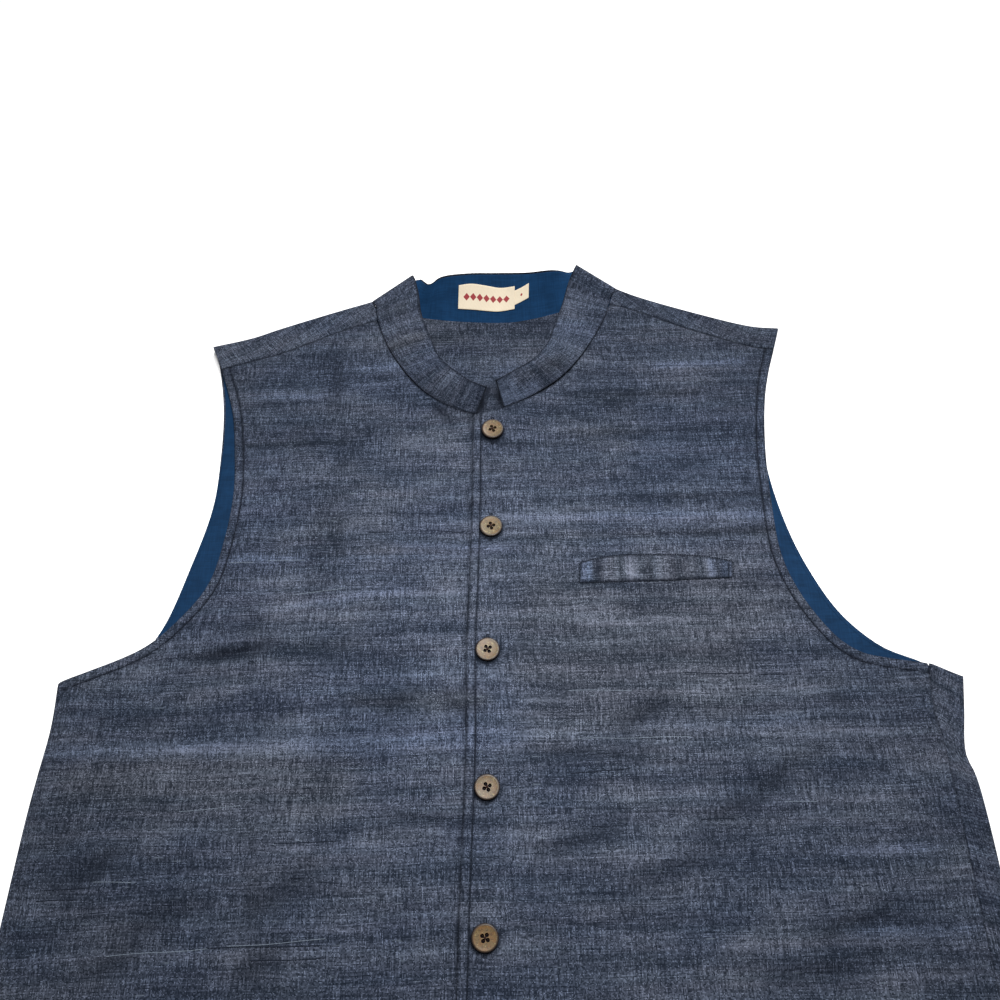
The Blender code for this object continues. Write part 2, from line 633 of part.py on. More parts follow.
def drilled_button():
    """The button's mesh with its four holes cut through."""
    blank = bpy.data.objects.new("button_blank", turned_button())
    cutter = bpy.data.objects.new("button_holes", hole_cutter())
    for helper in (blank, cutter):
        bpy.context.scene.collection.objects.link(helper)
    cut = blank.modifiers.new("Holes", "BOOLEAN")
    cut.operation = "DIFFERENCE"
    cut.object = cutter
    bpy.context.view_layer.update()
    ready = blank.evaluated_get(bpy.context.evaluated_depsgraph_get())
    mesh = bpy.data.meshes.new_from_object(ready)
    mesh.name = "button"
    for helper in (blank, cutter):
        bpy.data.objects.remove(helper, do_unlink=True)
    return mesh


def build_buttons(front, finish):
    mesh = drilled_button()
    mesh.materials.clear()
    mesh.materials.append(finish)
    for number, (x, y) in enumerate(BUTTON_PLACES, start=1):
        made = bpy.data.objects.new(f"button_{number}", mesh)
        bpy.context.scene.collection.objects.link(made)
        steps = (-BUTTON_FOOT, 0, BUTTON_FOOT)
        under = [height_on(front, x + dx, y + dy) for dx in steps for dy in steps]
        z = max(under) + FRONT_WALL / 2 + BUTTON_LIFT
        made.location = (x * MM, y * MM, z * MM)


def main():
    clear_scene()
    shell = material("shell_cloth", SHELL_COLOUR, 0.9)
    lining = material("lining_cloth", LINING_COLOUR, 0.75)
    button = material("button_horn", BUTTON_COLOUR, 0.45)
    label = material("label_cloth", LABEL_COLOUR, 0.85)
    build_back(shell)
    build_back_lining(lining)
    build_neck_facing(shell)
    build_front_right(shell)
    front = front_left_rows()
    add_wall("front_left", [front], FRONT_WALL, shell)
    build_pocket_welt(front, shell)
    inner = build_collar(shell, lining)
    build_label(inner, "label", LABEL_X, LABEL_ROWS, label)
    build_label(inner, "size_tab", TAB_X, TAB_ROWS, label)
    build_buttons(front, button)


main()
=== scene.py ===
"""Looks of a sleeveless band-collar jacket laid flat on its back, built as an add-on.

Frame: x runs to the wearer's left, y from the hem to the collar, z up from the surface.
Tables are in millimetres, and points are scaled to metres when a mesh is made.
"""

import math
from collections import namedtuple

import bmesh
import bpy
import numpy as np
from mathutils import Matrix, Vector


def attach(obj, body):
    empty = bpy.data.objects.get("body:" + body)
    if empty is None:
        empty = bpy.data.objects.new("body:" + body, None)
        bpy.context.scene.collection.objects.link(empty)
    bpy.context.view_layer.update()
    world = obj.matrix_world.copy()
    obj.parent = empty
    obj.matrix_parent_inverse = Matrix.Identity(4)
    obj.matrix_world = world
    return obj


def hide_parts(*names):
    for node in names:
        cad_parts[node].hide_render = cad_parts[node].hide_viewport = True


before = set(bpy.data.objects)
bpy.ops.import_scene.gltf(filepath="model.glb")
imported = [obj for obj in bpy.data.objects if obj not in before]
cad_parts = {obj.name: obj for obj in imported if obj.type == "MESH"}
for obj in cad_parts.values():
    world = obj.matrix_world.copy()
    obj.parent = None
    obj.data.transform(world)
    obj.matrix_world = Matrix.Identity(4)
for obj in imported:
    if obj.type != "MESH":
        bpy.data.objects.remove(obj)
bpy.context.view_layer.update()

bl_info = {
    "name": "Band-collar jacket",
    "version": (1, 0, 0),
    "blender": (4, 5, 0),
    "location": "View3D > Sidebar > Jacket",
    "description": "Builds a buttoned, sleeveless band-collar jacket laid flat, and its stage",
    "category": "Object",
}

MM = 0.001
MERGE = 0.01 * MM

# ---------------------------------------------------------------- sizes of the jacket

# Walls of the cloth
SHELL_WALL = 1.0
BACK_WALL = 1.2
LINING_WALL = 0.7
COLLAR_WALL = 1.6
COLLAR_LINING_WALL = 0.6
WELT_WALL = 0.9
LABEL_WALL = 0.45
EDGE_BEVEL = 0.28

# Heights of the middle of each wall above the surface
BACK_Z = 0.6
LINING_Z = 2.0
FACING_Z = 3.55
FRONT_Z = 5.0
SIDE_EDGE_Z = 2.25
ARMHOLE_EDGE_Z = 4.0

# How the fronts rise at the lap and the neck, calm down near their edges and roll down at them
LAP_RISE = 2.1
NECK_RISE = 2.0
NECK_RISE_REACH = 28.0
SIDE_ROUND = 15.0
EDGE_FADE = 40.0
NECK_FADE = 30.0
SHOULDER_FADE = 24.0
ARMHOLE_DROP_REACH = 20.0
LAP_FADE = 30.0
LAP_MARGIN = 6.0
LAP_CALM = 0.75
LAP_CREASE_CALM = 0.6
CREASE_FADE = 6.0
LUMP_FADE = 16.0
EDGE_ROLL = 0.7
EDGE_ROLL_REACH = 2.4

# Soft lumps of each cloth, as (height, size along x, size along y, seed)
FRONT_LUMPS = [(0.28, 46, 15, 3), (0.16, 19, 8, 5)]
BACK_LUMPS = [(1.0, 95, 26, 11), (0.6, 44, 12, 12)]
FOLD_LUMPS = [(0.3, 18, 18, 21)]
LINING_LUMPS = [(1.0, 9, 60, 31)]
FACING_LUMPS = [(0.30, 34, 14, 41), (0.12, 14, 9, 42)]
LUMP_GRID = 64
LUMP_START = 31.5
BACK_WRINKLE = 0.4
BACK_WRINKLE_LOW = 0.1
LINING_WRINKLE = 0.1
LINING_CALM_RATE = 9

# Turned folds of the back over the shoulders and round the wearer's left side
FOLD_RADIUS = (FRONT_Z - BACK_Z) / 2
FOLD_STEPS = 10
FOLD_INSET = FOLD_RADIUS + BACK_WALL / 2
FOLD_CELL = 1.6
FOLD_CALM = 8.0
SEAM_CALM = 5.0
CALM_RATE = 12

# How far each piece stays inside the edge of its neighbour
LINING_X = (-304.0, 302.0)
LINING_ARMHOLE_INSET = 1.8
LINING_SHOULDER_INSET = 4.0
LINING_CORNER_INSET = 4.0
LINING_HEM_INSET = 10.0
LINING_NECK_INSET = 1.8
FACING_NECK_INSET = 0.8
FACING_END_CUT = 0.09
COLLAR_SEAT = 0.45
COLLAR_SHELL_INSET = 0.2
COLLAR_LINING_INSET = 1.45
COLLAR_LINING_END_CUT = 3
LABEL_CLEARANCE = 1.75
TAB_CLEARANCE = 0.95
SEAM_GAP = 0.15

# Turns of the grain from the length of the jacket, in degrees
GRAIN_RIGHT = 1.6
GRAIN_LEFT = 1.2
GRAIN_COLLAR = 88.0
GRAIN_WELT = 90.0

# Outlines, as (x, y)
HEM = [(-324, -364), (-170, -369), (0, -370), (170, -369), (325, -364)]
UNDER_EDGE_X = 6.0
SIDE_RIGHT = [(-324, -364), (-319, -200), (-316, -90), (-314.6, -67), (-312.1, -32), (-313.5, 0)]
SIDE_LEFT = [(325, -364), (320, -200), (316, -66), (312.1, -50), (317.2, -20), (321.5, 4)]
SIDE_SEAM_LEFT = [(305, -365), (300, -160), (298, -45), (295.5, -20), (298.5, 13.8)]
ARMHOLE_RIGHT_FRONT = [
    (-313.5, 0), (-294.4, 7.4), (-257, 25.4), (-235.6, 46.3), (-217.7, 74),
    (-210, 115), (-208.3, 150), (-211, 180), (-217.8, 222.4), (-231.5, 264),
]
ARMHOLE_RIGHT_BACK = [
    (-313.5, 0), (-288, 2), (-262, 14.5), (-246, 38.8), (-232.9, 87.2),
    (-223.9, 135), (-223.4, 182.5), (-227.1, 230.1), (-235.5, 270), (-241, 285),
]
ARMHOLE_LEFT_FRONT = [
    (298.5, 13.8), (269.8, 18), (254.2, 21.6), (241.2, 29.7), (230.7, 41.7), (215.6, 67.2),
    (205.6, 98), (203.4, 145), (204.6, 192), (209.6, 236), (215.9, 263.5), (222.3, 284.4),
]
ARMHOLE_LEFT_BACK = [
    (318.7, 4), (306, 9), (291, 17.2), (265.6, 28.4), (241.2, 52.6), (223.4, 88),
    (212.4, 124.1), (205.4, 170), (205.8, 222), (214, 264), (227.5, 304.2),
]
SHOULDER_RIGHT_FOLD = [
    (-241.7, 287.8), (-210, 296.8), (-188.1, 306.1), (-146.9, 322.3), (-111.5, 335.4),
]
SHOULDER_RIGHT_SEAM = [
    (-231.5, 264), (-214.9, 269.8), (-188.2, 278.6), (-160.8, 290.6), (-128, 306.5), (-107, 313.8),
]
SHOULDER_LEFT_FOLD = [(94.3, 349.4), (112.2, 340.7), (159.9, 323.2), (207, 308.9), (228.5, 307)]
SHOULDER_LEFT_SEAM = [(88.8, 331.5), (110.7, 323.7), (157.5, 303.8), (203.7, 287), (222.3, 284.4)]
NECK_RIGHT = [
    (-107, 313.8), (-101.5, 297), (-93.9, 279.8), (-78.7, 256),
    (-62.6, 238.5), (-42.3, 225.7), (-23.8, 218.8), (6, 214.5),
]
NECK_LEFT = [
    (-25.2, 217.6), (-12, 220.5), (-1.2, 224.1), (23.2, 236.4), (44.5, 252.8),
    (60.6, 272.4), (75.3, 297.5), (84, 316.5), (88.8, 331.5),
]
NECK_BACK = [
    (-111.5, 332.4), (-90, 324.5), (-70.3, 318.7), (-32.8, 314.3),
    (8.4, 314.4), (45.1, 324.1), (70, 334.6), (92.5, 347.2),
]
PLACKET_EDGE = [
    (-32, -369.5), (-29.6, -192), (-28.5, -122), (-26.7, -50),
    (-27.2, 26), (-25.6, 95), (-25, 150), (-25.2, 217.6),
]
FACING_LOWER = [(-106, 322), (-96, 262), (-62, 212), (-8, 190), (48, 212), (82, 272), (88, 334)]

# Broad folds of the fronts, as in the solids: a soft ridge from one end to the other
Fold = namedtuple("Fold", "x0 y0 x1 y1 height width")
FOLDS = [
    (-300, -150, -170, -88, 2.6, 20),
    (-262, -232, -120, -150, 2.4, 22),
    (-128, -18, -58, -16, 1.4, 13),
    (-214, 46, -160, 34, 1.6, 14),
    (60, -42, 122, -2, 1.6, 15),
    (118, -88, 232, -28, 2.2, 18),
    (0, -142, 110, -98, 1.8, 18),
    (190, -168, 286, -120, 2.0, 20),
    (-60, -280, 96, -240, 2.0, 26),
    (120, -300, 270, -235, 2.4, 24),
    (-128, 246, -150, 190, 1.2, 13),
    (40, 150, 180, 170, 1.0, 24),
]

# Creases of the fronts: a trough along a short line of (x, y) points, with a ridge on its left side
Crease = namedtuple("Crease", "route depth width ridge")
CREASES = [
    ([(-226, 14), (-200, 18), (-176, 24), (-158, 36)], 2.0, 3.8, 1.4),
    ([(-156, 23), (-126, 25), (-88, 29)], 1.4, 3.6, 0.9),
    ([(-196, 38), (-180, 43), (-166, 52)], 1.3, 4.0, 1.1),
    ([(-96, -26), (-80, -19), (-62, -6), (-52, -2)], 1.7, 3.6, 1.2),
    ([(-52, -2), (-44, -6), (-32, -20), (-27, -29)], 1.3, 3.2, 0.8),
    ([(62, -42), (90, -28), (120, -6)], 1.7, 5.4, 1.2),
    ([(-16, -58), (12, -51), (60, -52), (128, -58)], 1.3, 2.9, 0.9),
    ([(-104, -92), (-60, -94), (-18, -93)], 1.0, 4.3, 0.8),
    ([(6, -128), (44, -110), (84, -97), (104, -88)], 1.4, 4.7, 1.1),
    ([(112, -106), (160, -84), (190, -61), (232, -40)], 1.5, 5.4, 1.1),
    ([(48, -152), (84, -136), (130, -118), (168, -112)], 1.0, 5.0, 0.8),
    ([(236, -38), (229, -8), (222, 10)], 1.2, 5.0, 0.8),
    ([(-300, -150), (-272, -131), (-236, -100)], 1.8, 7.6, 1.5),
    ([(-256, -172), (-218, -155), (-184, -147)], 1.7, 6.4, 1.3),
    ([(-180, -164), (-142, -138), (-108, -112)], 1.6, 6.2, 1.3),
    ([(-302, -112), (-286, -104), (-272, -101)], 1.2, 5.0, 0.9),
    ([(-270, -204), (-248, -184), (-216, -168)], 1.6, 6.4, 1.3),
    ([(-172, -196), (-150, -180), (-128, -168)], 1.6, 5.8, 1.2),
    ([(-143, 200), (-139, 226), (-137, 254), (-140, 290)], 1.4, 3.2, 0.8),
    ([(-64, 232), (-50, 220), (-38, 207)], 2.2, 3.6, 1.4),
    ([(178, -178), (214, -160), (258, -148)], 1.3, 5.8, 1.1),
    ([(130, -196), (176, -188), (236, -186)], 1.2, 5.8, 0.9),
    ([(-200, -252), (-160, -226), (-128, -214)], 1.7, 5.8, 1.4),
    ([(-292, -262), (-262, -240), (-238, -214)], 2.0, 6.5, 1.6),
    ([(-120, -312), (-70, -292), (-36, -286)], 1.3, 5.8, 0.9),
    ([(40, -268), (88, -252), (146, -226)], 1.6, 5.8, 1.2),
    ([(176, -286), (226, -262), (278, -240)], 1.9, 5.8, 1.4),
    ([(64, -332), (116, -318), (180, -302)], 1.2, 5.8, 0.9),
    ([(-244, -326), (-204, -306), (-176, -300)], 1.3, 5.8, 1.1),
    ([(-176, -48), (-168, -96), (-160, -160), (-157, -214)], 0.7, 3.6, 0.5),
    ([(-118, 148), (-124, 112), (-126, 72)], 0.7, 5.0, 0.5),
    ([(54, 236), (84, 232), (118, 238)], 0.9, 6.5, 0.6),
    ([(150, 262), (176, 240), (190, 214)], 0.7, 6.5, 0.6),
]

# A crease's two ridges as (share of its ridge, how far off, how wide), in widths of the crease
NEAR_RIDGE = (1.0, 2.1, 1.2)
FAR_RIDGE = (0.5, -2.2, 1.5)
CREASE_ENDS = 0.4
CREASE_END_DEPTH = 0.02

# Edges of the facings inside the fronts, which press through as a low step, higher on their left
PRESSED_EDGES = [
    ([(-114, -366), (-114.3, -194), (-124.6, -13.1), (-129.4, 101), (-134.5, 207.3), (-138, 292)], 0.45),
    ([(119, -366), (119.3, -124.6), (135.3, 61.1)], -0.3),
]
PRESSED_WIDTH = 1.6
PRESSED_REACH = 16.0
LOWEST_TROUGH = 3.5
TROUGH_SOFTNESS = 0.35

# Uneven dyeing of the yarn: soft patches along the weft, lighter or darker, warmer or cooler, with a few
# rows of painted shade marked below
YarnPatch = namedtuple("YarnPatch", "x y half_length half_width rise tone warmth")
YARN_AND_PAINTED_SHADE_PATCHES = [
    (-175, 237, 24, 2.2, 2, 0.21, -0.2),
    (-105, 248, 14, 2.0, 3, 0.21, -0.2),
    (-85, 266, 26, 2.6, 4, 0.25, -0.3),
    (-75, 95, 46, 2.4, 2, 0.19, -0.1),
    (-70, 67, 40, 2.8, 2, 0.21, 0.0),
    (-155, -45, 130, 7.0, 2, 0.17, -0.3),
    (-65, -110, 62, 3.4, 2, 0.15, 0.0),
    (160, 270, 30, 3.6, 3, 0.17, -0.4),
    (110, 130, 90, 3.0, 1, 0.15, -0.2),
    (95, 45, 34, 3.0, 2, 0.17, 0.0),
    (140, -30, 50, 4.0, 2, 0.15, -0.1),
    (242, -112, 26, 3.0, 2, 0.17, -0.2),
    (255, -160, 34, 3.4, 2, 0.17, -0.2),
    (-165, 193, 34, 2.6, 2, -0.21, 0.2),
    (30, 193, 30, 2.4, 2, -0.21, 0.1),
    (155, 147, 44, 3.0, 2, -0.19, 0.1),
    (115, 115, 84, 3.2, 2, -0.17, 0.2),
    (105, 240, 44, 4.0, 2, -0.17, 0.2),
    (105, 205, 44, 4.0, 2, -0.17, 0.2),
    (-220, 140, 40, 60.0, 0, 0.0, -0.3),
    (90, 10, 70, 55.0, 0, 0.0, 0.45),
    (-200, -70, 80, 26.0, 0, 0.0, 0.45),
    (180, 190, 60, 50.0, 0, 0.0, -0.4),
    (-120, 255, 60, 22.0, 0, 0.0, -0.35),
    (-60, -20, 70, 30.0, 0, 0.04, -0.2),
    # painted shade beside the pressed edge of the facing inside
    (-135, 112, 8, 42.0, 0, -0.12, 0.1),
    (120, 230, 90, 50.0, 0, -0.035, 0.0),
    (110, 60, 80, 30.0, 0, 0.03, 0.3),
    # painted shade beside the pressed edge of the facing inside: this row and the next
    (-118, 180, 10, 30.0, 0, -0.08, 0.0),
    (-122, -60, 6, 60.0, 0, -0.06, 0.0),
    # painted shade along two creases: this row and the next
    (-185, 22, 34, 5.0, 6, -0.18, 0.0),
    (-105, 20, 40, 4.0, 3, -0.12, 0.0),
    (-60, -14, 40, 7.0, 0, -0.10, 0.5),
    (-120, 62, 40, 3.0, 10, 0.16, -0.1),
    (-190, 93, 36, 2.4, 2, 0.22, -0.2),
    (-40, 104, 34, 2.6, -4, 0.20, -0.2),
]
FACING_PATCHES = [
    (-10, 300, 60, 14.0, 0, -0.10, 0.1),
    (-60, 296, 24, 8.0, 0, 0.02, 0.2),
    (30, 262, 30, 9.0, 2, 0.03, -0.3),
]
COLLAR_PATCHES = [
    (-10, 290, 130, 90.0, 0, 0.05, -0.1),
    # painted light: the collar's end on the wearer's left, lightened where it lies flatter to the light
    (9, 232, 13, 7.5, 24, 0.30, -0.5),
    # painted shade: darker above the fold across that end
    (28, 251, 15, 6.0, 36, -0.20, 0.2),
    (62, 296, 16, 6.0, 2, 0.08, -0.3),
    (-78, 258, 18, 4.0, 3, 0.10, -0.3),
    (-88, 284, 18, 6.0, 2, -0.08, 0.5),
    (-100, 320, 16, 12.0, 0, -0.03, 0.3),
]

# Upright bars of yarn across the welt, as (x, half length, tone, warmth)
WELT_BARS = [
    (60, 2, 0.22, -0.5), (67, 2, -0.16, 0.3), (74, 2, 0.05, 0.2), (82, 3, -0.10, 0.5),
    (91, 1.5, 0.34, 0.3), (96, 1, 0.12, 0.3), (104, 3, -0.14, 0.6), (114, 1, 0.10, 0.5),
    (124, 6, -0.10, 0.7), (136, 1, 0.08, 0.4), (144, 3, -0.06, 0.3), (151, 1.5, 0.34, -0.1),
    (157, 1, -0.12, 0.2), (162, 2, 0.14, -0.3),
]
WELT_PATCHES = [(x, 84, half, 12.0, 0, tone, warmth) for x, half, tone, warmth in WELT_BARS]

# Sewn lines, as distances inside an edge
PLACKET_STITCH = 6.2
ARMHOLE_STITCH = 6.6
HEM_STITCH = 22.0
HEM_STITCH_END = 300
STITCH_PITCH = 2.6
STITCH_LENGTH = 2.3
THREAD_RADIUS = 0.30
WELT_THREAD_RADIUS = 0.46
BUTTON_THREAD_RADIUS = 0.42
BUTTONHOLE_THREAD_RADIUS = 0.21
SEWN_LIFT = 0.40
STITCHES_AT_ONCE = 30
GROOVE_DEPTH = 0.5
GROOVE_WIDTH = 0.95
PUCKER = 0.12
PUCKER_PITCH = 7.0
PUCKER_REACH = 5.0

# Painted shade that gathers in the dents of the cloth and beside raised parts: its greatest share, and
# how wide it spreads
SEWN_SHADE = 0.9
SEWN_WIDTH = 0.95
SEAM_SHADE = 0.85
SEAM_WIDTH = 0.95
EDGE_SHADE = 0.35
EDGE_WIDTH = 0.8
WELT_SHADE = 0.95
WELT_SHADE_WIDTH = 0.8
WELT_STITCH = 3.2
WELT_SEWN_WIDTH = 0.8
BUTTON_SHADE_DROP = 1.0
BUTTON_SHADE_REACH = 1.8
SIDE_SHADE = 0.45
NECK_SHADE = 0.6
RIM_SHADE = 0.9
RIM_WIDTH = 1.3
END_SHADE = 0.8
END_WIDTH = 3.2
GAP_SHADE = 0.35
GAP_TOP = 254.0
GAP_FADE = 14.0
CREASE_SHADE = 0.15
BROAD_SHADE = 0.14
BROAD_REACH = 2.6
LAP_SHADE_REACH = {"left": 1.3, "right": 2.2}

# Band collar from the wearer's right end round the back to the left end
Station = namedtuple("Station", "base_x base_y base_z rim_x rim_y rim_z bulge")
FRONT_STATIONS_RIGHT = (0, 6)
BACK_STATIONS = (10, 17)
FRONT_STATIONS_LEFT = (21, 27)
LABEL_STATIONS = (11, 17)
COLLAR_STATIONS = [
    (-22.6, 220.9, 8.2, -14.3, 229.0, 28.0, 0.0),
    (-42.2, 226.3, 8.2, -27.9, 236.5, 27.0, 1.0),
    (-61.8, 239.1, 8.2, -41.6, 248.9, 25.5, 1.5),
    (-81.6, 261.2, 8.0, -52.0, 262.0, 23.0, 1.5),
    (-93.8, 283.5, 7.6, -60.2, 283.8, 20.5, 1.0),
    (-103.3, 309.0, 7.0, -69.1, 311.7, 17.0, 0.5),
    (-107.4, 324.7, 6.5, -72.8, 336.6, 14.0, 0.3),
    (-111.2, 331.4, 6.6, -76.8, 352.2, 13.4, 0.0),
    (-112.0, 334.5, 3.8, -79.0, 356.2, 10.0, 0.0),
    (-108.8, 333.1, 1.3, -77.2, 354.0, 6.8, 0.0),
    (-93.7, 328.9, 1.3, -70.6, 350.0, 12.0, 1.0),
    (-70.6, 321.2, 1.3, -62.3, 337.9, 20.0, 2.0),
    (-56.7, 318.5, 1.3, -52.7, 339.2, 26.0, 1.5),
    (-32.9, 316.8, 1.3, -32.0, 340.9, 28.0, 1.0),
    (-7.8, 316.1, 1.3, -8.2, 340.9, 28.5, 1.0),
    (19.6, 318.9, 1.3, 18.1, 341.4, 28.5, 1.0),
    (45.3, 326.7, 1.3, 40.4, 346.6, 26.0, 1.5),
    (70.4, 337.4, 1.3, 54.0, 359.8, 10.0, 0.6),
    (90.6, 347.3, 1.3, 59.6, 365.2, 6.8, 0.0),
    (94.2, 348.6, 3.8, 61.2, 367.6, 10.0, 0.0),
    (93.8, 344.9, 6.6, 60.0, 363.6, 13.4, 0.0),
    (88.4, 335.2, 6.5, 54.0, 347.2, 14.0, 0.3),
    (84.1, 321.1, 7.0, 47.7, 321.0, 17.0, 0.5),
    (73.9, 297.7, 7.6, 39.3, 293.4, 20.5, 1.0),
    (59.3, 272.6, 8.6, 34.3, 276.0, 24.0, 1.5),
    (43.6, 253.2, 9.4, 24.0, 258.8, 26.5, 1.5),
    (21.6, 236.0, 9.8, 6.1, 243.8, 28.5, 1.0),
    (-1.0, 224.4, 9.8, -7.1, 234.0, 29.5, 0.0),
]
COLLAR_HEIGHT = 34
SHARPEST_TURN = 0.7

# Lines on the facing where the two ends of the collar keep the light out
COLLAR_END_LINES = [[(-23.0, 219.0), (-14.9, 246.0)], [(0.5, 226.0), (-7.0, 253.0)]]

# Thick yarns in the weft of the fronts: middle, length and rise along it
Slub = namedtuple("Slub", "x y length rise")
DARK_SLUBS = [
    (-93, 116.0, 19, 0.0),
    (-40, 115.7, 17, -0.04),
    (-131, 3.9, 9, -0.07),
    (-130, -107.6, 40, 0.03),
    (-133, -129.7, 10, 0.0),
    (-113, -132.2, 14, -0.03),
    (-278, -136.0, 28, 0.04),
    (-283, -142.9, 26, 0.02),
    (-150, -169.6, 70, 0.02),
    (-134, -177.0, 46, 0.03),
    (-132, -73.2, 5, 0.0),
    (-268, -89.7, 2, 0.0),
    (-248, -87.8, 2, 0.0),
    (-197, -85.0, 2, 0.3),
    (168, 108.9, 8, 0.05),
    (128, 60.2, 13, 0.16),
    (147, 6.3, 46, -0.02),
    (188, 5.5, 20, -0.01),
    (109, -14.8, 8, 0.2),
    (126, -18.0, 6, -0.1),
    (92.5, -27.6, 3, -0.6),
    (93, -3.8, 6, 0.12),
    (165, -9.2, 4, 0.0),
    (62, -97.6, 11, -0.06),
    (139, -92.9, 22, 0.05),
    (64, -61.6, 40, 0.1),
]
PALE_SLUBS = [
    (-196, 91.1, 20, -0.03),
    (-162, 92.7, 28, 0.03),
    (-136, 68.0, 38, 0.17),
    (-194, -86.6, 40, 0.08),
    (-250, -132.2, 24, -0.02),
    (-214, -173.0, 66, 0.07),
    (-142, -167.6, 60, 0.07),
    (199.3, 24.0, 2, 0.1),
    (123, -38.5, 5, 0.04),
    (84, -39.4, 70, 0.02),
    (195, -81.7, 22, -0.03),
    (66, -6.1, 44, 0.0),
]
SLUB_CELL = 2.4
SLUB_SWAY = 0.3
DARK_SLUB_RADIUS = 0.42
PALE_SLUB_RADIUS = 0.22

# Buttons
BUTTON_RADIUS = 8.5
BUTTON_PLACES = [
    (-9.8, 203.0), (-10.6, 119.1), (-12.5, 22.7), (-12.2, -72.7), (-12.8, -164.5), (-13.6, -260.0),
]
BUTTON_TURNS = (-22, -32, -11, -18, 11, 26)
BUTTON_TONES = (0.15, 0.35, 0.0, 0.0, 0.40, 0.1)
BUTTON_LIFT = 0.4
BUTTON_SIDES = 64
BUTTON_SHARP_ANGLE = 38
BUTTON_PROFILE = [
    (0.0, 0.0), (6.6, 0.0), (7.7, 0.35), (8.3, 0.95), (8.5, 1.5), (8.4, 1.95), (8.1, 2.25),
    (7.6, 2.36), (7.0, 2.30), (6.4, 2.18), (5.4, 2.08), (3.6, 2.0), (1.8, 1.97), (0.0, 1.95),
]
RIM_START = 7.0
RIM_FADE = 0.8
HOLE_RADIUS = 1.3
HOLE_OFFSET = 1.48
HOLE_SIDES = 20
DRILL_DEPTH = 12
BUTTON_REST = 6
STRAND_INSET = 0.7
STRAND_GAP = 0.2
STRAND_LIFT = 0.08
STRAND_FOOT = 0.4
STRAND_HEAD = 0.5
BUTTONHOLE_LENGTH = 22.0
BUTTONHOLE_WIDTH = 2.4
BUTTONHOLE_SLIT = 0.25
BUTTONHOLE_ROWS = 44
BUTTONHOLE_FAN = (-0.9, -0.45, 0.0, 0.45, 0.9)
BUTTONHOLE_FAN_REACH = (0.5, 1.1)
BUTTONHOLE_LIFT = 0.05

# Welt of the chest pocket on the wearer's left
WELT_LOWER = [(54.5, 74.8), (110, 76.2), (166.5, 78.8)]
WELT_UPPER = [(55.3, 90.6), (77.4, 95.6), (110, 97.2), (143.9, 96), (167.9, 91.6)]
WELT_LENGTH = 112.0
WELT_WIDTH = 18.0
WELT_MOUTH_PITCH = 1.8
WELT_LIFT = 0.3
WELT_CROWN = 0.35
WELT_CROWN_REACH = 1.6
WELT_DENT = 0.3
WELT_DENT_SHADE = 0.7
WELT_SHADE_INSET = 0.4
WELT_THREAD_LIFT = 0.4

# Edges of the label and the size tab, as (x, share of the collar's height from base to rim)
LABEL_TOP = [(-38.0, 0.78), (-28.0, 0.80), (-14.0, 0.755), (-4.0, 0.715), (8.0, 0.745)]
LABEL_BOTTOM = [(-39.0, 0.29), (-25.0, 0.275), (-12.0, 0.252), (-6.0, 0.245), (8.0, 0.285)]
TAB_TOP = [(7.6, 0.65), (13.4, 0.71), (19.6, 0.79)]
TAB_BOTTOM = [(7.6, 0.36), (13.4, 0.42), (19.6, 0.49)]
LABEL_CELLS = (46, 20)
TAB_CELLS = (12, 14)
LABEL_WAVE = 0.4

# Cells of the meshes
CURVE_CELLS = 24
CLOTH_CELL = 4.0
CLOTH_ROW = 2.2
FINE_CELL = 1.0
FINE_ZONE = 12.0
BACK_CELL = 5.0
LINING_CELL = 7.0
COLLAR_CELLS = 14
COLLAR_ROWS = 34
FACING_CELLS = (64, 44)
WELT_CELLS = (110, 20)
EDGE_CELLS = 8
SEWN_CELLS = 12
THREAD_PITCH = 0.70

# Camera and floor
CAMERA_PLACE = (-0.002, -0.129, 0.4847)
CAMERA_TILT = 18.8
CAMERA_LENS = 25.56
CAMERA_SENSOR = 36.0
CAMERA_SHIFT = (-0.0025, 0.1355)
CAMERA_CLIP = (0.01, 50.0)
FLOOR_SIDES = 96
FLOOR_DROP = 0.2


# ---------------------------------------------------------------- curves and patches

def through(points, cells):
    """A smooth curve through the points, with this number of cells between each two of them."""
    p = np.asarray(points, float)
    ends = np.vstack([2 * p[0] - p[1], p, 2 * p[-1] - p[-2]])
    knots = np.concatenate([[0], np.cumsum(np.sqrt(np.linalg.norm(np.diff(ends, axis=0), axis=1)))])
    made = []
    for i in range(1, len(ends) - 2):
        k0, k1, k2, k3 = knots[i - 1:i + 3]
        k = np.linspace(k1, k2, cells, endpoint=False)[:, None]
        a1 = (k1 - k) / (k1 - k0) * ends[i - 1] + (k - k0) / (k1 - k0) * ends[i]
        a2 = (k2 - k) / (k2 - k1) * ends[i] + (k - k1) / (k2 - k1) * ends[i + 1]
        a3 = (k3 - k) / (k3 - k2) * ends[i + 1] + (k - k2) / (k3 - k2) * ends[i + 2]
        b1 = (k2 - k) / (k2 - k0) * a1 + (k - k0) / (k2 - k0) * a2
        b2 = (k3 - k) / (k3 - k1) * a2 + (k - k1) / (k3 - k1) * a3
        made.append((k2 - k) / (k2 - k1) * b1 + (k - k1) / (k2 - k1) * b2)
    made.append(p[-1:])
    return np.vstack(made)


def run_of(points):
    """Length along a polyline at each of its points."""
    return np.concatenate([[0], np.cumsum(np.linalg.norm(np.diff(points, axis=0), axis=1))])


def at_shares(points, shares):
    """Points at these shares of a polyline's length."""
    run = run_of(points)
    return np.stack([np.interp(np.asarray(shares) * run[-1], run, axis) for axis in points.T], axis=1)


def smooth_curve(points, shares):
    """Points at these shares of the length of a smooth curve through the given points."""
    return at_shares(through(points, CURVE_CELLS), shares)


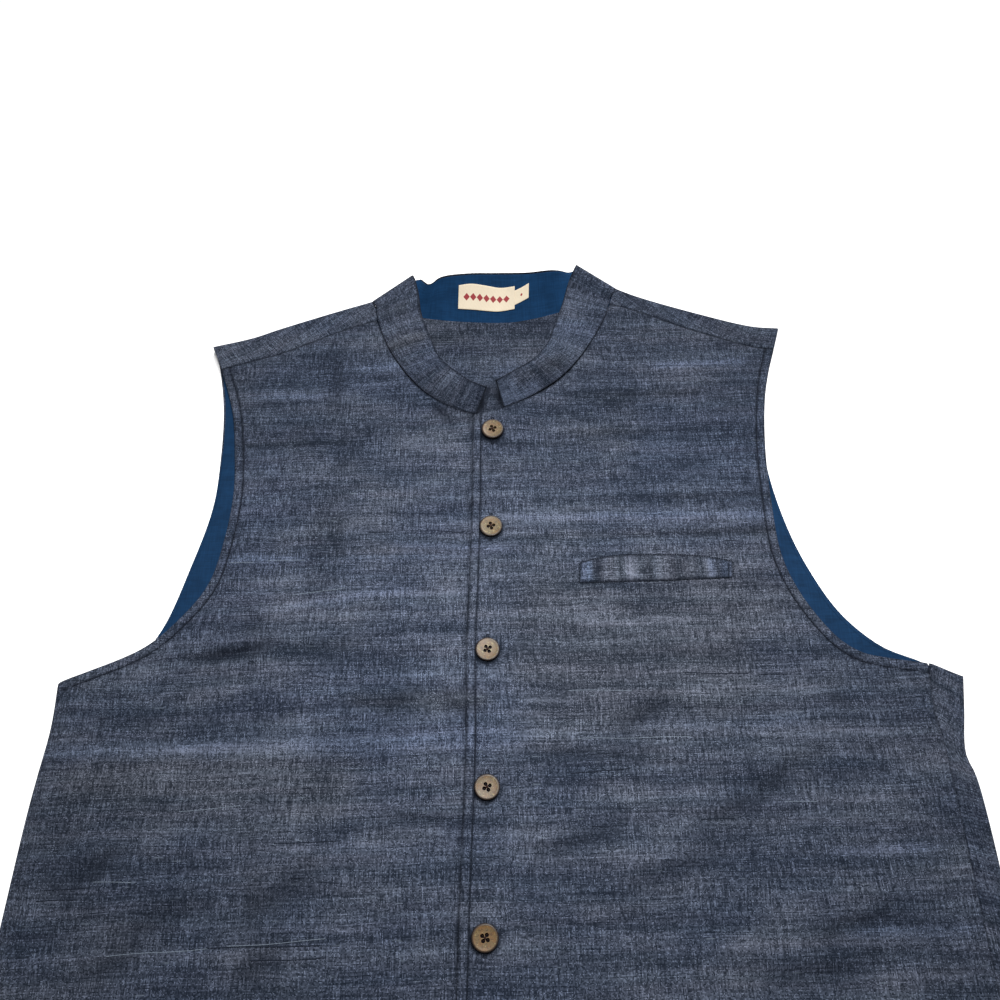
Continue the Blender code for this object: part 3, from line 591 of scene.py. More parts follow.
def even(cells):
    """Shares from 0 to 1 that part a length into this many cells."""
    return np.linspace(0, 1, cells + 1)


def straight(start, end, shares):
    """Points at these shares of a straight line."""
    return at_shares(np.array([start, end]), shares)


def length_of(points):
    """Length of a smooth curve through the points."""
    return run_of(through(points, CURVE_CELLS))[-1]


def joined(*curves):
    """Curves end to end, with each shared point once."""
    return np.vstack([curves[0]] + [c[1:] for c in curves[1:]])


def unit(vectors):
    """The vectors, each brought to a length of 1."""
    return vectors / np.maximum(1e-9, np.linalg.norm(vectors, axis=-1, keepdims=True))


def to_right(curve):
    """Unit vectors in plan that point to the right of the curve, as one walks along it."""
    along = unit(np.gradient(curve, axis=0))
    return np.stack([along[:, 1], -along[:, 0]], axis=1)


def shifted(curve, by):
    """The curve moved sideways in plan, to its right where by is positive."""
    return curve + by * to_right(curve)


def between(low, high, left, right, s, t, bottom, top):
    """Places at the shares s and t between the points below, above, to the left and to the right."""
    across = (1 - t) * low + t * high
    upward = (1 - s) * left + s * right
    corners = (1 - t) * ((1 - s) * bottom[0] + s * bottom[-1]) + t * ((1 - s) * top[0] + s * top[-1])
    return across + upward - corners


def patch(bottom, top, left, right, s, t):
    """Rows of (x, y) points that fill four edges, at shares s across and t upward."""
    sides = (bottom[None], top[None], left[:, None], right[:, None])
    return between(*sides, s[None, :, None], t[:, None, None], bottom, top)


def strip(lower, upper, s, t):
    """Rows between two curves, with straight ends."""
    left = straight(lower[0], upper[0], t)
    right = straight(lower[-1], upper[-1], t)
    return patch(lower, upper, left, right, s, t)


def grid_of(across, upward):
    """Pairs of numbers in rows, from the numbers across and upward."""
    return np.stack(np.broadcast_arrays(across[None], upward[:, None]), axis=-1)


def at_height(rows, z):
    """(x, y) rows with a third coordinate, a number or an array."""
    return np.dstack([rows, np.broadcast_to(z, rows.shape[:2])])


def smooth_step(t):
    """0 below 0, 1 above 1, with a soft start and end between them."""
    t = np.clip(t, 0, 1)
    return t * t * (3 - 2 * t)


def bell(off, width):
    """1 at 0, fading on both sides over this width."""
    return np.exp(-(off / width) ** 2)


def nearest(places, curve):
    """For each place, its distance from a polyline, its side (+1 left) and how far along it is."""
    best = np.full(places.shape[:-1], np.inf)
    side = np.ones_like(best)
    along = np.zeros_like(best)
    run = run_of(curve)
    for start, step, begun in zip(curve[:-1], np.diff(curve, axis=0), run):
        length = np.hypot(*step)
        off = places - start
        share = np.clip((off @ step) / length ** 2, 0, 1)
        gap = np.linalg.norm(off - share[..., None] * step, axis=-1)
        closer = gap < best
        turn = np.sign(step[0] * off[..., 1] - step[1] * off[..., 0])
        best = np.where(closer, gap, best)
        side = np.where(closer, turn, side)
        along = np.where(closer, begun + share * length, along)
    return best, side, along


def soft_noise(places, size_x, size_y, seed):
    """Smooth uneven values from -1 to 1 over the plan, with lumps of this size."""
    lattice = np.random.default_rng(seed).uniform(-1, 1, (LUMP_GRID, LUMP_GRID))
    x = places[..., 0] / size_x + LUMP_START
    y = places[..., 1] / size_y + LUMP_START
    i, j = np.floor(x).astype(int) % LUMP_GRID, np.floor(y).astype(int) % LUMP_GRID
    next_i, next_j = (i + 1) % LUMP_GRID, (j + 1) % LUMP_GRID
    u, v = smooth_step(x - np.floor(x)), smooth_step(y - np.floor(y))
    low = lattice[j, i] * (1 - u) + lattice[j, next_i] * u
    high = lattice[next_j, i] * (1 - u) + lattice[next_j, next_i] * u
    return low * (1 - v) + high * v


def lumps(places, sizes):
    """Sum of soft lumps over the plan."""
    return sum(height * soft_noise(places, *size) for height, *size in sizes)


# ---------------------------------------------------------------- relief of the fronts

# The curves of the fronts that their relief and shade are measured from
EDGES = {
    name: through(points, EDGE_CELLS)
    for name, points in (
        ("neck_right", NECK_RIGHT),
        ("neck_left", NECK_LEFT),
        ("side_right", SIDE_RIGHT),
        ("side_left", SIDE_SEAM_LEFT),
        ("armhole_right", ARMHOLE_RIGHT_FRONT),
        ("armhole_left", ARMHOLE_LEFT_FRONT),
        ("shoulder_right", SHOULDER_RIGHT_SEAM),
        ("shoulder_left", SHOULDER_LEFT_SEAM),
        ("placket", PLACKET_EDGE),
        ("hem", HEM),
    )
}


def to_edge(places, name):
    """Distance of each place from a named edge of the fronts."""
    return nearest(places, EDGES[name])[0]


def fold_height(places):
    """Sum of the broad folds at each place, each fading out past its ends."""
    total = np.zeros(places.shape[:-1])
    for fold in map(Fold._make, FOLDS):
        along = np.array([fold.x1 - fold.x0, fold.y1 - fold.y0], float)
        length = np.linalg.norm(along)
        along /= length
        x = places[..., 0] - fold.x0
        y = places[..., 1] - fold.y0
        run = x * along[0] + y * along[1]
        off = y * along[0] - x * along[1]
        beyond = np.maximum(0, np.maximum(-run, run - length))
        total += fold.height * np.exp(-(off / fold.width) ** 2 - (beyond / fold.width) ** 2)
    return total


def crease_offsets(places):
    """Each crease with, at each place, the distance to its left and its strength there."""
    for crease in map(Crease._make, CREASES):
        route = through(crease.route, 4)
        gap, side, along = nearest(places, route)
        length = run_of(route)[-1]
        from_ends = np.minimum(along, length - along) / (CREASE_ENDS * length)
        yield crease, gap * side, smooth_step(from_ends + CREASE_END_DEPTH)


def crease_height(places):
    """Sum of the creases: a trough between a ridge and a lower ridge, fading towards both ends."""
    total = np.zeros(places.shape[:-1])
    for crease, off, strength in crease_offsets(places):
        near, far = (
            share * crease.ridge * bell(off - shift * crease.width, spread * crease.width)
            for share, shift, spread in (NEAR_RIDGE, FAR_RIDGE)
        )
        trough = crease.depth * bell(off, crease.width)
        total += (near + far - trough) * strength
    return total


def line_shade(gap, share, width):
    """Shade beside a line: its full share on the line, fading over this width."""
    return share * bell(gap, width)


def uneven(along):
    """A share that wanders between about half and 1 along a seam."""
    return 0.76 + 0.24 * np.sin(along / 7.3 + 1.6 * np.sin(along / 19.0))


def crease_shade(places):
    """Share of shade that gathers in the creases, in the bottom of each and just left of it."""
    total = np.zeros(places.shape[:-1])
    for crease, off, strength in crease_offsets(places):
        total += CREASE_SHADE * crease.depth * bell(off, crease.width) * strength
        total += BROAD_SHADE * crease.depth * bell(off, BROAD_REACH * crease.width) * strength
    return total


def pressed_height(places):
    """Low steps over the edges of the facings inside."""
    total = np.zeros(places.shape[:-1])
    for route, step in PRESSED_EDGES:
        gap, side, _ = nearest(places, np.array(route, float))
        total += step * np.tanh(gap * side / PRESSED_WIDTH) * bell(gap, PRESSED_REACH)
    return total


def sewn_groove(gap, along, inside):
    """A stitched line's groove at this distance inside an edge, and the puckers beside it."""
    off = gap - inside
    ripple = np.sin(2 * math.pi * along / PUCKER_PITCH + 1.7 * np.sin(along / 23.0))
    return PUCKER * ripple * bell(off, PUCKER_REACH) - GROOVE_DEPTH * bell(off, GROOVE_WIDTH)


def kept_above(height, low):
    """Height that never sinks below a lining, with a soft turn where it would."""
    return low + TROUGH_SOFTNESS * np.logaddexp(0, (height - low) / TROUGH_SOFTNESS)


def rolled(gap):
    """How far a turned edge rolls down at this distance from it."""
    t = np.clip(1 - gap / EDGE_ROLL_REACH, 0, 1)
    return EDGE_ROLL * (1 - np.sqrt(1 - 0.999 * t * t))


def front_height(places, which):
    """Height of the middle of a front's wall, of the right (under) or the left (over) front."""
    from_side = to_edge(places, "side_" + which)
    from_armhole, _, along_armhole = nearest(places, EDGES["armhole_" + which])
    from_shoulder = to_edge(places, "shoulder_" + which)
    from_neck = np.minimum(to_edge(places, "neck_right"), to_edge(places, "neck_left"))
    from_placket, _, along_placket = nearest(places, EDGES["placket"])
    from_hem, _, along_hem = nearest(places, EDGES["hem"])
    calm = smooth_step(from_neck / NECK_FADE)
    for distance in (from_side, from_armhole, from_shoulder):
        calm = calm * smooth_step(distance / EDGE_FADE)
    if which == "right":
        from_lap = places[..., 0] - PLACKET_EDGE[0][0]
        over_lap = smooth_step((from_lap + LAP_FADE) / (LAP_FADE - LAP_MARGIN))
        calm = calm * (1 - over_lap)
        lap = 0.0
    else:
        lap = 1 - smooth_step((places[..., 0] - UNDER_EDGE_X - LAP_MARGIN) / LAP_FADE)
        calm = calm * (1 - LAP_CALM * lap)
    off_shoulder = smooth_step(from_shoulder / SHOULDER_FADE)
    neck_rise = NECK_RISE * (1 - smooth_step(from_neck / NECK_RISE_REACH))
    armhole_drop = (FRONT_Z - ARMHOLE_EDGE_Z) * (1 - smooth_step(from_armhole / ARMHOLE_DROP_REACH))
    near_edges = smooth_step(np.minimum(from_armhole, from_neck) / CREASE_FADE)
    height = FRONT_Z + fold_height(places) * calm + (neck_rise - armhole_drop) * off_shoulder
    creased = crease_height(places) + pressed_height(places)
    height += creased * near_edges * (1 - LAP_CREASE_CALM * lap)
    height += lumps(places, FRONT_LUMPS) * smooth_step(np.minimum(from_side, from_armhole) / LUMP_FADE)
    height = kept_above(height, LOWEST_TROUGH) + LAP_RISE * lap
    height += sewn_groove(from_armhole, along_armhole, ARMHOLE_STITCH)
    height += sewn_groove(from_hem, along_hem, HEM_STITCH)
    if which == "left":
        height += sewn_groove(from_placket, along_placket, PLACKET_STITCH)
        height -= rolled(from_placket)
        height -= rolled(from_side)
    else:
        roundness = 1 - np.sin(0.5 * math.pi * np.minimum(1, from_side / SIDE_ROUND))
        height -= (height - SIDE_EDGE_Z) * roundness
    return height - rolled(from_armhole) - rolled(from_shoulder) - rolled(from_hem)


def height_of(which):
    """The function that gives the height of one front at any places."""
    return lambda places: front_height(places, which)


# ---------------------------------------------------------------- meshes

CLOTH_LAYERS = ("cloth_u", "cloth_v", "seam_shade")


class Sheet:
    """Rows of points of a cloth, each with its place on the cut cloth and its share of seam shade."""

    def __init__(self, rows, cloth, grain_turn=0.0, shade=0.0):
        """The grain turns by this angle, in degrees, from the length of the jacket."""
        self.rows = rows
        self.shade = np.clip(np.broadcast_to(shade, rows.shape[:2]), 0, 1)
        angle = math.radians(grain_turn)
        u = cloth[..., 0] * math.cos(angle) + cloth[..., 1] * math.sin(angle)
        v = cloth[..., 1] * math.cos(angle) - cloth[..., 0] * math.sin(angle)
        self.cloth = np.stack([u, v], axis=-1) * MM


def add_sheet(bm, sheet):
    """A grid of quads through the rows of a sheet, which keeps each point's place on the cloth."""
    count_y, count_x = sheet.rows.shape[:2]
    known = bm.verts.layers.float
    layers = [known.get(name) or known.new(name) for name in CLOTH_LAYERS]
    made = bmesh.ops.create_grid(bm, x_segments=count_x - 1, y_segments=count_y - 1, size=0.5)
    for vert in made["verts"]:
        column = round((vert.co.x + 0.5) * (count_x - 1))
        row = round((vert.co.y + 0.5) * (count_y - 1))
        vert.co = sheet.rows[row, column] * MM
        for layer, value in zip(layers, (*sheet.cloth[row, column], sheet.shade[row, column])):
            vert[layer] = value


def map_cloth(mesh):
    """A UV map, in metres, from each point's place on the cut cloth."""
    count = len(mesh.vertices)
    place = np.zeros((count, 2), np.float32)
    for axis, name in enumerate(CLOTH_LAYERS[:2]):
        values = np.zeros(count, np.float32)
        mesh.attributes[name].data.foreach_get("value", values)
        place[:, axis] = values
    corners = np.zeros(len(mesh.loops), np.int32)
    mesh.loops.foreach_get("vertex_index", corners)
    uv = mesh.uv_layers.new(name="cloth")
    uv.data.foreach_set("uv", place[corners].ravel())
    for name in CLOTH_LAYERS[:2]:
        mesh.attributes.remove(mesh.attributes[name])


def points_of(mesh):
    """The places of a mesh's points, in millimetres."""
    co = np.zeros(len(mesh.vertices) * 3, np.float32)
    mesh.vertices.foreach_get("co", co)
    return co.reshape(-1, 3) / MM


def give_points(mesh, name, values):
    """Keeps one number for each point of a mesh, for its finish to read."""
    layer = mesh.attributes.new(name, "FLOAT", "POINT")
    layer.data.foreach_set("value", values.astype(np.float32))


def add_tones(mesh, patches):
    """Tone and warmth at each point, from a table of soft patches: mostly the yarn's own, in a few
    patches painted shade and painted light.
    """
    x, y, _ = points_of(mesh).T
    tone = np.zeros(len(x))
    warmth = np.zeros(len(x))
    for soft in map(YarnPatch._make, patches):
        slope = math.tan(math.radians(soft.rise))
        off_x = np.maximum(0, np.abs(x - soft.x) - soft.half_length) / (2 + 0.25 * soft.half_length)
        off_y = (y - soft.y - slope * (x - soft.x)) / soft.half_width
        share = np.exp(-off_x ** 2 - off_y ** 2)
        tone += soft.tone * share
        warmth += soft.warmth * share
    give_points(mesh, "yarn_tone", tone)
    give_points(mesh, "yarn_warmth", warmth)


def mesh_from(bm, name):
    """A mesh of what was modelled, which ends the modelling."""
    mesh = bpy.data.meshes.new(name)
    bm.to_mesh(mesh)
    bm.free()
    return mesh


def new_object(name, data, *finishes):
    """An object in the scene, of a mesh, a light or a camera."""
    for finish in finishes:
        data.materials.append(finish)
    made = bpy.data.objects.new(name, data)
    bpy.context.scene.collection.objects.link(made)
    return made


def cloth_piece(name, sheets, wall, finish, patches=None):
    """One sheet of cloth from grids that share edges, with its thickness on both sides."""
    bm = bmesh.new()
    for sheet in sheets:
        add_sheet(bm, sheet)
    bmesh.ops.remove_doubles(bm, verts=bm.verts, dist=MERGE)
    bmesh.ops.recalc_face_normals(bm, faces=bm.faces)
    mesh = mesh_from(bm, name)
    map_cloth(mesh)
    if patches is not None:
        add_tones(mesh, patches)
    mesh.shade_smooth()
    made = new_object(name, mesh, finish)
    thickness = made.modifiers.new("Wall", "SOLIDIFY")
    thickness.thickness = wall * MM
    thickness.offset = 0.0
    thickness.use_even_offset = False
    thickness.use_rim = True
    rounding = made.modifiers.new("Rounded edge", "BEVEL")
    rounding.width = EDGE_BEVEL * wall * MM
    rounding.segments = 2
    rounding.limit_method = "ANGLE"
    rounding.angle_limit = math.radians(60)
    return made


def stitch_at(bm, start, end, radius):
    """One stitch: a slim closed bead of thread between two points, in millimetres."""
    start, end = Vector(start), Vector(end)
    along = end - start
    turn = along.to_track_quat("Z", "Y").to_matrix().to_4x4()
    size = Matrix.Diagonal((radius * MM, radius * MM, 0.5 * along.length * MM, 1.0))
    place = Matrix.Translation((start + end) * 0.5 * MM)
    bmesh.ops.create_uvsphere(bm, u_segments=6, v_segments=4, radius=1.0, matrix=place @ turn @ size)


def thread_piece(name, stitches, radius, finish):
    """Many stitches as one piece, made a few at a time because a small mesh is quick to add to."""
    whole = bmesh.new()
    mesh = bpy.data.meshes.new(name)
    for first in range(0, len(stitches), STITCHES_AT_ONCE):
        few = bmesh.new()
        for start, end in stitches[first:first + STITCHES_AT_ONCE]:
            stitch_at(few, start, end, radius)
        few.to_mesh(mesh)
        few.free()
        whole.from_mesh(mesh)
    whole.to_mesh(mesh)
    whole.free()
    mesh.shade_smooth()
    return new_object(name, mesh, finish)


def line_inside(curve, inside, start, end):
    """A polyline at this distance to the right of a curve, less these lengths at its two ends."""
    route = shifted(curve, inside)
    length = run_of(route)[-1]
    cells = max(8, round((length - start - end) / STITCH_PITCH))
    return at_shares(route, np.linspace(start / length, 1 - end / length, cells + 1))


def stitches_between(starts, ends, height, lift):
    """Stitches from each start to its end in plan, this far above the height that a function gives."""
    z_start, z_end = height(np.stack([starts, ends])) + lift
    return list(zip(np.column_stack([starts, z_start]), np.column_stack([ends, z_end])))


def stitches_on(route, height, lift, filled=STITCH_LENGTH / STITCH_PITCH):
    """Stitches that fill a share of each step of a plan route, on the height that a function gives."""
    steps = np.diff(route, axis=0)
    shares = 0.5 * (1 - filled)
    return stitches_between(route[:-1] + shares * steps, route[1:] - shares * steps, height, lift)


def slub_yarns(slubs):
    """Thick yarns along the weft of the fronts, each swaying a little, as overlapping short lengths."""
    made = []
    for number, slub in enumerate(map(Slub._make, slubs)):
        cells = max(1, round(slub.length / SLUB_CELL))
        run = np.linspace(-0.5, 0.5, cells + 1) * slub.length
        sway = SLUB_SWAY * np.sin(run / 9.0 + 1.9 * number)
        route = np.stack([slub.x + run, slub.y + slub.rise * run + sway], axis=1)
        which = "left" if slub.x > 0 else "right"
        made += stitches_on(route, height_of(which), SHELL_WALL / 2, 1.3)
    return made


# ---------------------------------------------------------------- the cut pieces

def graded(length, middle, fine_start, fine_end):
    """Shares of a length: this many cells, and fine ones beside the ends that ask for them."""
    zone = round(FINE_ZONE / FINE_CELL)
    low = FINE_ZONE * fine_start / length
    high = 1 - FINE_ZONE * fine_end / length
    start = np.linspace(0, low, zone, endpoint=False) if fine_start else np.zeros(0)
    end = np.linspace(high, 1, zone + 1)[1:] if fine_end else np.zeros(0)
    return np.concatenate([start, np.linspace(low, high, middle + 1), end])


def graded_rows(length, cell):
    """Shares along a height, with fine cells beside both ends."""
    zone_share = FINE_ZONE / length
    return graded(length, round((1 - zone_share - zone_share) * length / cell), True, True)


def varied_patch(bottom, top, left, right, t, cell, fine_start, fine_end):
    """Rows that fill four edges, with the columns of each row spaced for its own width."""
    widths = np.linalg.norm(right - left, axis=1)
    middle = max(4, round(widths.max() / cell))
    made = []
    for row, width in enumerate(widths):
        share = graded(width, middle, fine_start, fine_end)
        low, high = at_shares(bottom, share), at_shares(top, share)
        made.append(between(low, high, left[row], right[row], share[:, None], t[row], bottom, top))
    return np.array(made)


def front_shade(places, which):
    """Share of painted shade at each place of a front: in its seams, stitched lines and creases, and
    round each button.
    """
    from_armhole = to_edge(places, "armhole_" + which)
    from_placket, _, along_placket = nearest(places, EDGES["placket"])
    total = line_shade(from_armhole - ARMHOLE_STITCH, SEWN_SHADE, SEWN_WIDTH)
    total += line_shade(from_armhole, EDGE_SHADE, EDGE_WIDTH)
    total += line_shade(to_edge(places, "hem") - HEM_STITCH, SEWN_SHADE, SEWN_WIDTH)
    total += line_shade(to_edge(places, "shoulder_" + which), SEAM_SHADE, SEAM_WIDTH)
    total += line_shade(to_edge(places, "neck_" + which), NECK_SHADE, SEAM_WIDTH)
    lap_width = LAP_SHADE_REACH[which] * SEAM_WIDTH
    total += line_shade(from_placket, SEAM_SHADE, lap_width) * uneven(along_placket)
    if which == "left":
        total += line_shade(from_placket - PLACKET_STITCH, SEWN_SHADE, SEWN_WIDTH)
        total += line_shade(to_edge(places, "side_left"), SIDE_SHADE, SEAM_WIDTH)
        # painted shadow round each button, set a little below it, which also darkens its holes
        for x, y in BUTTON_PLACES:
            off_button = np.hypot(places[..., 0] - x, places[..., 1] - y + BUTTON_SHADE_DROP)
            total += 1 - smooth_step((off_button - BUTTON_RADIUS) / BUTTON_SHADE_REACH)
    return total + crease_shade(places)


def back_shade(places):
    """Share of painted shade on the back's turned parts, along the seams that join them to the fronts.
    """
    total = line_shade(to_edge(places, "shoulder_right"), SEAM_SHADE, SEAM_WIDTH)
    total += line_shade(to_edge(places, "shoulder_left"), SEAM_SHADE, SEAM_WIDTH)
    return total + line_shade(to_edge(places, "side_left"), SIDE_SHADE, SEAM_WIDTH)


def front_right_rows():
    """The under front: its straight edge lies beneath the other front at the placket."""
    side = through(SIDE_RIGHT, CURVE_CELLS)
    armhole = through(ARMHOLE_RIGHT_FRONT, CURVE_CELLS)
    shoulder = through(SHOULDER_RIGHT_SEAM, CURVE_CELLS)
    neck = through(NECK_RIGHT, CURVE_CELLS)
    top = shifted(joined(shoulder, neck), SEAM_GAP)
    outer = joined(side, armhole)
    outer[-1] = top[0]
    hem = through(HEM[:2] + [(UNDER_EDGE_X, PLACKET_EDGE[0][1])], CURVE_CELLS)
    t = graded_rows(run_of(outer)[-1], CLOTH_ROW)
    edge = straight(hem[-1], top[-1], t)
    return varied_patch(hem, top, at_shares(outer, t), edge, t, CLOTH_CELL, True, False)


def front_left_rows():
    """The over front: it laps the under one by the placket, and meets the back at its side seam."""
    side = shifted(through(SIDE_SEAM_LEFT, CURVE_CELLS), -SEAM_GAP)
    armhole = through(ARMHOLE_LEFT_FRONT, CURVE_CELLS)
    shoulder = through(SHOULDER_LEFT_SEAM, CURVE_CELLS)
    neck = through(NECK_LEFT, CURVE_CELLS)
    top = shifted(joined(neck, shoulder), SEAM_GAP)
    top[0] = neck[0]
    outer = joined(side, armhole)
    outer[-1] = top[-1]
    placket = through(PLACKET_EDGE, CURVE_CELLS)
    placket[-1] = top[0]
    hem = through([PLACKET_EDGE[0], HEM[3], tuple(side[0])], CURVE_CELLS)
    t = graded_rows(run_of(outer)[-1], CLOTH_ROW)
    return varied_patch(hem, top, at_shares(placket, t), at_shares(outer, t), t, CLOTH_CELL, True, True)


def back_relief(places):
    """Low wrinkles of the flat back, which lift it off the surface here and there."""
    return BACK_WRINKLE * smooth_step(lumps(places, BACK_LUMPS) - BACK_WRINKLE_LOW)


def calm_edges(t, s):
    """1 in the middle of a patch, 0 along its edges."""
    up, across = (smooth_step(np.minimum(share, 1 - share) * CALM_RATE) for share in (t, s))
    return up[:, None] * across[None]


def back_edges(cell):
    """The flat part of the back: its edges up to the start of each fold, and their numbers of cells."""
    side_cells, armhole_cells, shoulder_cells, neck_cells = (
        round(length_of(edge) / cell)
        for edge in (SIDE_RIGHT, ARMHOLE_LEFT_BACK, SHOULDER_LEFT_FOLD, NECK_BACK)
    )
    side_right = smooth_curve(SIDE_RIGHT, even(side_cells))
    side_left = shifted(smooth_curve(SIDE_LEFT, even(side_cells)), -FOLD_INSET)
    shoulder_right = shifted(smooth_curve(SHOULDER_RIGHT_FOLD, even(shoulder_cells)), FOLD_INSET)
    shoulder_left = shifted(smooth_curve(SHOULDER_LEFT_FOLD, even(shoulder_cells)), FOLD_INSET)
    neck = smooth_curve(NECK_BACK, even(neck_cells))
    neck[0] = shoulder_right[-1]
    neck[-1] = shoulder_left[0]
    armhole_right = smooth_curve(ARMHOLE_RIGHT_BACK, even(armhole_cells))
    armhole_left = smooth_curve(ARMHOLE_LEFT_BACK, even(armhole_cells))
    armhole_right[-1] = shoulder_right[0]
    armhole_left[0] = side_left[-1]
    armhole_left[-1] = shoulder_left[-1]
    top = joined(shoulder_right, neck, shoulder_left)
    bottom = smooth_curve(HEM, even(len(top) - 1))
    bottom[-1] = side_left[0]
    left, right = joined(side_right, armhole_right), joined(side_left, armhole_left)
    return bottom, top, left, right, (side_cells, shoulder_cells)


def turned_over(start, outward, end):
    """A sheet that leaves start flat, turns over a fold and lies on top as far as end."""
    rows = [at_height(start[None], BACK_Z)[0]]
    cloth = [start]
    for step in range(1, FOLD_STEPS + 1):
        angle = math.pi * step / FOLD_STEPS
        plan = start + FOLD_RADIUS * math.sin(angle) * outward
        z = BACK_Z + FOLD_RADIUS * (1 - math.cos(angle))
        rows.append(at_height(plan[None], z)[0])
        cloth.append(start + FOLD_RADIUS * angle * outward)
    widths = np.linalg.norm(end - start, axis=1)
    cells = max(6, round(widths.max() / FOLD_CELL))
    for share in even(cells)[1:]:
        plan = (1 - share) * start + share * end
        gap = np.linalg.norm(end - plan, axis=1)
        near_fold = share * widths
        fade = smooth_step(near_fold / FOLD_CALM) * smooth_step(gap / SEAM_CALM + 0.2)
        z = FRONT_Z + lumps(plan, FOLD_LUMPS) * fade - rolled(gap)
        rows.append(np.column_stack([plan, z]))
        cloth.append(start + (FOLD_RADIUS * math.pi + near_fold)[:, None] * outward)
    rows = np.array(rows)
    return Sheet(rows, np.array(cloth), 0.0, back_shade(rows[..., :2]))


def back_sheets():
    """The flat back, and its parts turned over the two shoulders and round the left side."""
    bottom, top, left, right, (side_cells, shoulder_cells) = back_edges(BACK_CELL)
    s, t = even(len(top) - 1), even(len(left) - 1)
    plan = patch(bottom, top, left, right, s, t)
    flat = at_height(plan, BACK_Z + back_relief(plan) * calm_edges(t, s))
    shoulder_right = top[:shoulder_cells + 1]
    shoulder_left = top[-shoulder_cells - 1:]
    side_left = right[:side_cells + 1]
    shoulder = even(shoulder_cells)
    seam_right = shifted(smooth_curve(SHOULDER_RIGHT_SEAM, shoulder), -SEAM_GAP)
    seam_left = shifted(smooth_curve(SHOULDER_LEFT_SEAM, shoulder), -SEAM_GAP)
    seam_side = shifted(smooth_curve(SIDE_SEAM_LEFT, even(side_cells)), SEAM_GAP)
    return [
        Sheet(flat, plan),
        turned_over(shoulder_right, -to_right(shoulder_right), seam_right),
        turned_over(shoulder_left, -to_right(shoulder_left), seam_left),
        turned_over(side_left, to_right(side_left), seam_side),
    ]


def lining_rows():
    """The lining inside the edges of the back, as plan places and as rows with their heights."""
    bottom, top, left, right, (_, shoulder_cells) = back_edges(LINING_CELL)
    left = shifted(left, LINING_ARMHOLE_INSET)
    right = shifted(right, -LINING_ARMHOLE_INSET)
    neck = top[shoulder_cells + 1:-shoulder_cells - 1]
    top = shifted(top, LINING_SHOULDER_INSET)
    top[shoulder_cells + 1:-shoulder_cells - 1] = neck - (0.0, LINING_NECK_INSET)
    left[:, 0] = np.maximum(left[:, 0], LINING_X[0])
    right[:, 0] = np.minimum(right[:, 0], LINING_X[1])
    left[-1] = top[0] + (LINING_CORNER_INSET, 0)
    right[-1] = top[-1] - (LINING_CORNER_INSET, 0)
    top[0] = left[-1]
    top[-1] = right[-1]
    bottom = bottom + (0.0, LINING_HEM_INSET)
    bottom[0] = (left[0, 0], left[0, 1] + LINING_HEM_INSET)
    bottom[-1] = (right[0, 0], right[0, 1] + LINING_HEM_INSET)
    left[0] = bottom[0]
    right[0] = bottom[-1]
    s, t = even(len(top) - 1), even(len(left) - 1)
    plan = patch(bottom, top, left, right, s, t)
    from_sides = smooth_step(np.minimum(s, 1 - s) * LINING_CALM_RATE)[None]
    folds = LINING_WRINKLE * (1 + lumps(plan, LINING_LUMPS)) * from_sides
    relief = back_relief(plan) * calm_edges(t, s)
    return plan, at_height(plan, LINING_Z + relief + folds)


def facing_sheet():
    """The half-moon facing, which slips under the collar at the neck."""
    neck = through(NECK_BACK, CURVE_CELLS)
    ends = round(FACING_END_CUT * len(neck))
    inner = neck[ends:-ends] - (0.0, FACING_NECK_INSET)
    s, t = map(even, FACING_CELLS)
    plan = strip(at_shares(through(FACING_LOWER, CURVE_CELLS), s), at_shares(inner, s), s, t)
    # painted shadow beside the collar's two ends and in the gap between them
    from_lines = [nearest(plan, np.array(line))[0] for line in COLLAR_END_LINES]
    shade = sum(line_shade(gap, END_SHADE, END_WIDTH) for gap in from_lines)
    shade = shade + GAP_SHADE * smooth_step((GAP_TOP - plan[..., 1]) / GAP_FADE)
    return Sheet(at_height(plan, FACING_Z + lumps(plan, FACING_LUMPS)), plan, 0.0, shade)


def welt_sheet():
    """The pocket's welt, a strip raised off the over front and turned down at its edges."""
    s, t = map(even, WELT_CELLS)
    plan = strip(smooth_curve(WELT_LOWER, s), smooth_curve(WELT_UPPER, s), s, t)
    from_ends = np.minimum(s, 1 - s)[None] * WELT_LENGTH
    gap = np.minimum(from_ends, np.minimum(t, 1 - t)[:, None] * WELT_WIDTH)
    sewn = line_shade((1 - s)[None] * WELT_LENGTH - WELT_STITCH, 1.0, WELT_SEWN_WIDTH)
    height = front_height(plan, "left") + SHELL_WALL / 2 + WELT_LIFT + WELT_WALL / 2
    height = height + WELT_CROWN * (1 - np.exp(-gap / WELT_CROWN_REACH)) - WELT_DENT * sewn - rolled(gap)
    # painted shade round the welt's edges and in the dent of its stitched line
    shade = line_shade(gap - WELT_SHADE_INSET, WELT_SHADE, WELT_SHADE_WIDTH) + WELT_DENT_SHADE * sewn
    return Sheet(at_height(plan, height), plan, GRAIN_WELT, shade)


def neck_edges():
    """The panels' edges that the collar is sewn to: right front, back and left front."""
    _, top, _, _, (_, shoulder_cells) = back_edges(BACK_CELL)
    right = joined(top[shoulder_cells][None], through(NECK_RIGHT, CURVE_CELLS)[:-1])
    back = top[shoulder_cells:-shoulder_cells]
    left = joined(through(NECK_LEFT, CURVE_CELLS), top[-shoulder_cells - 1][None])
    return right, back, left


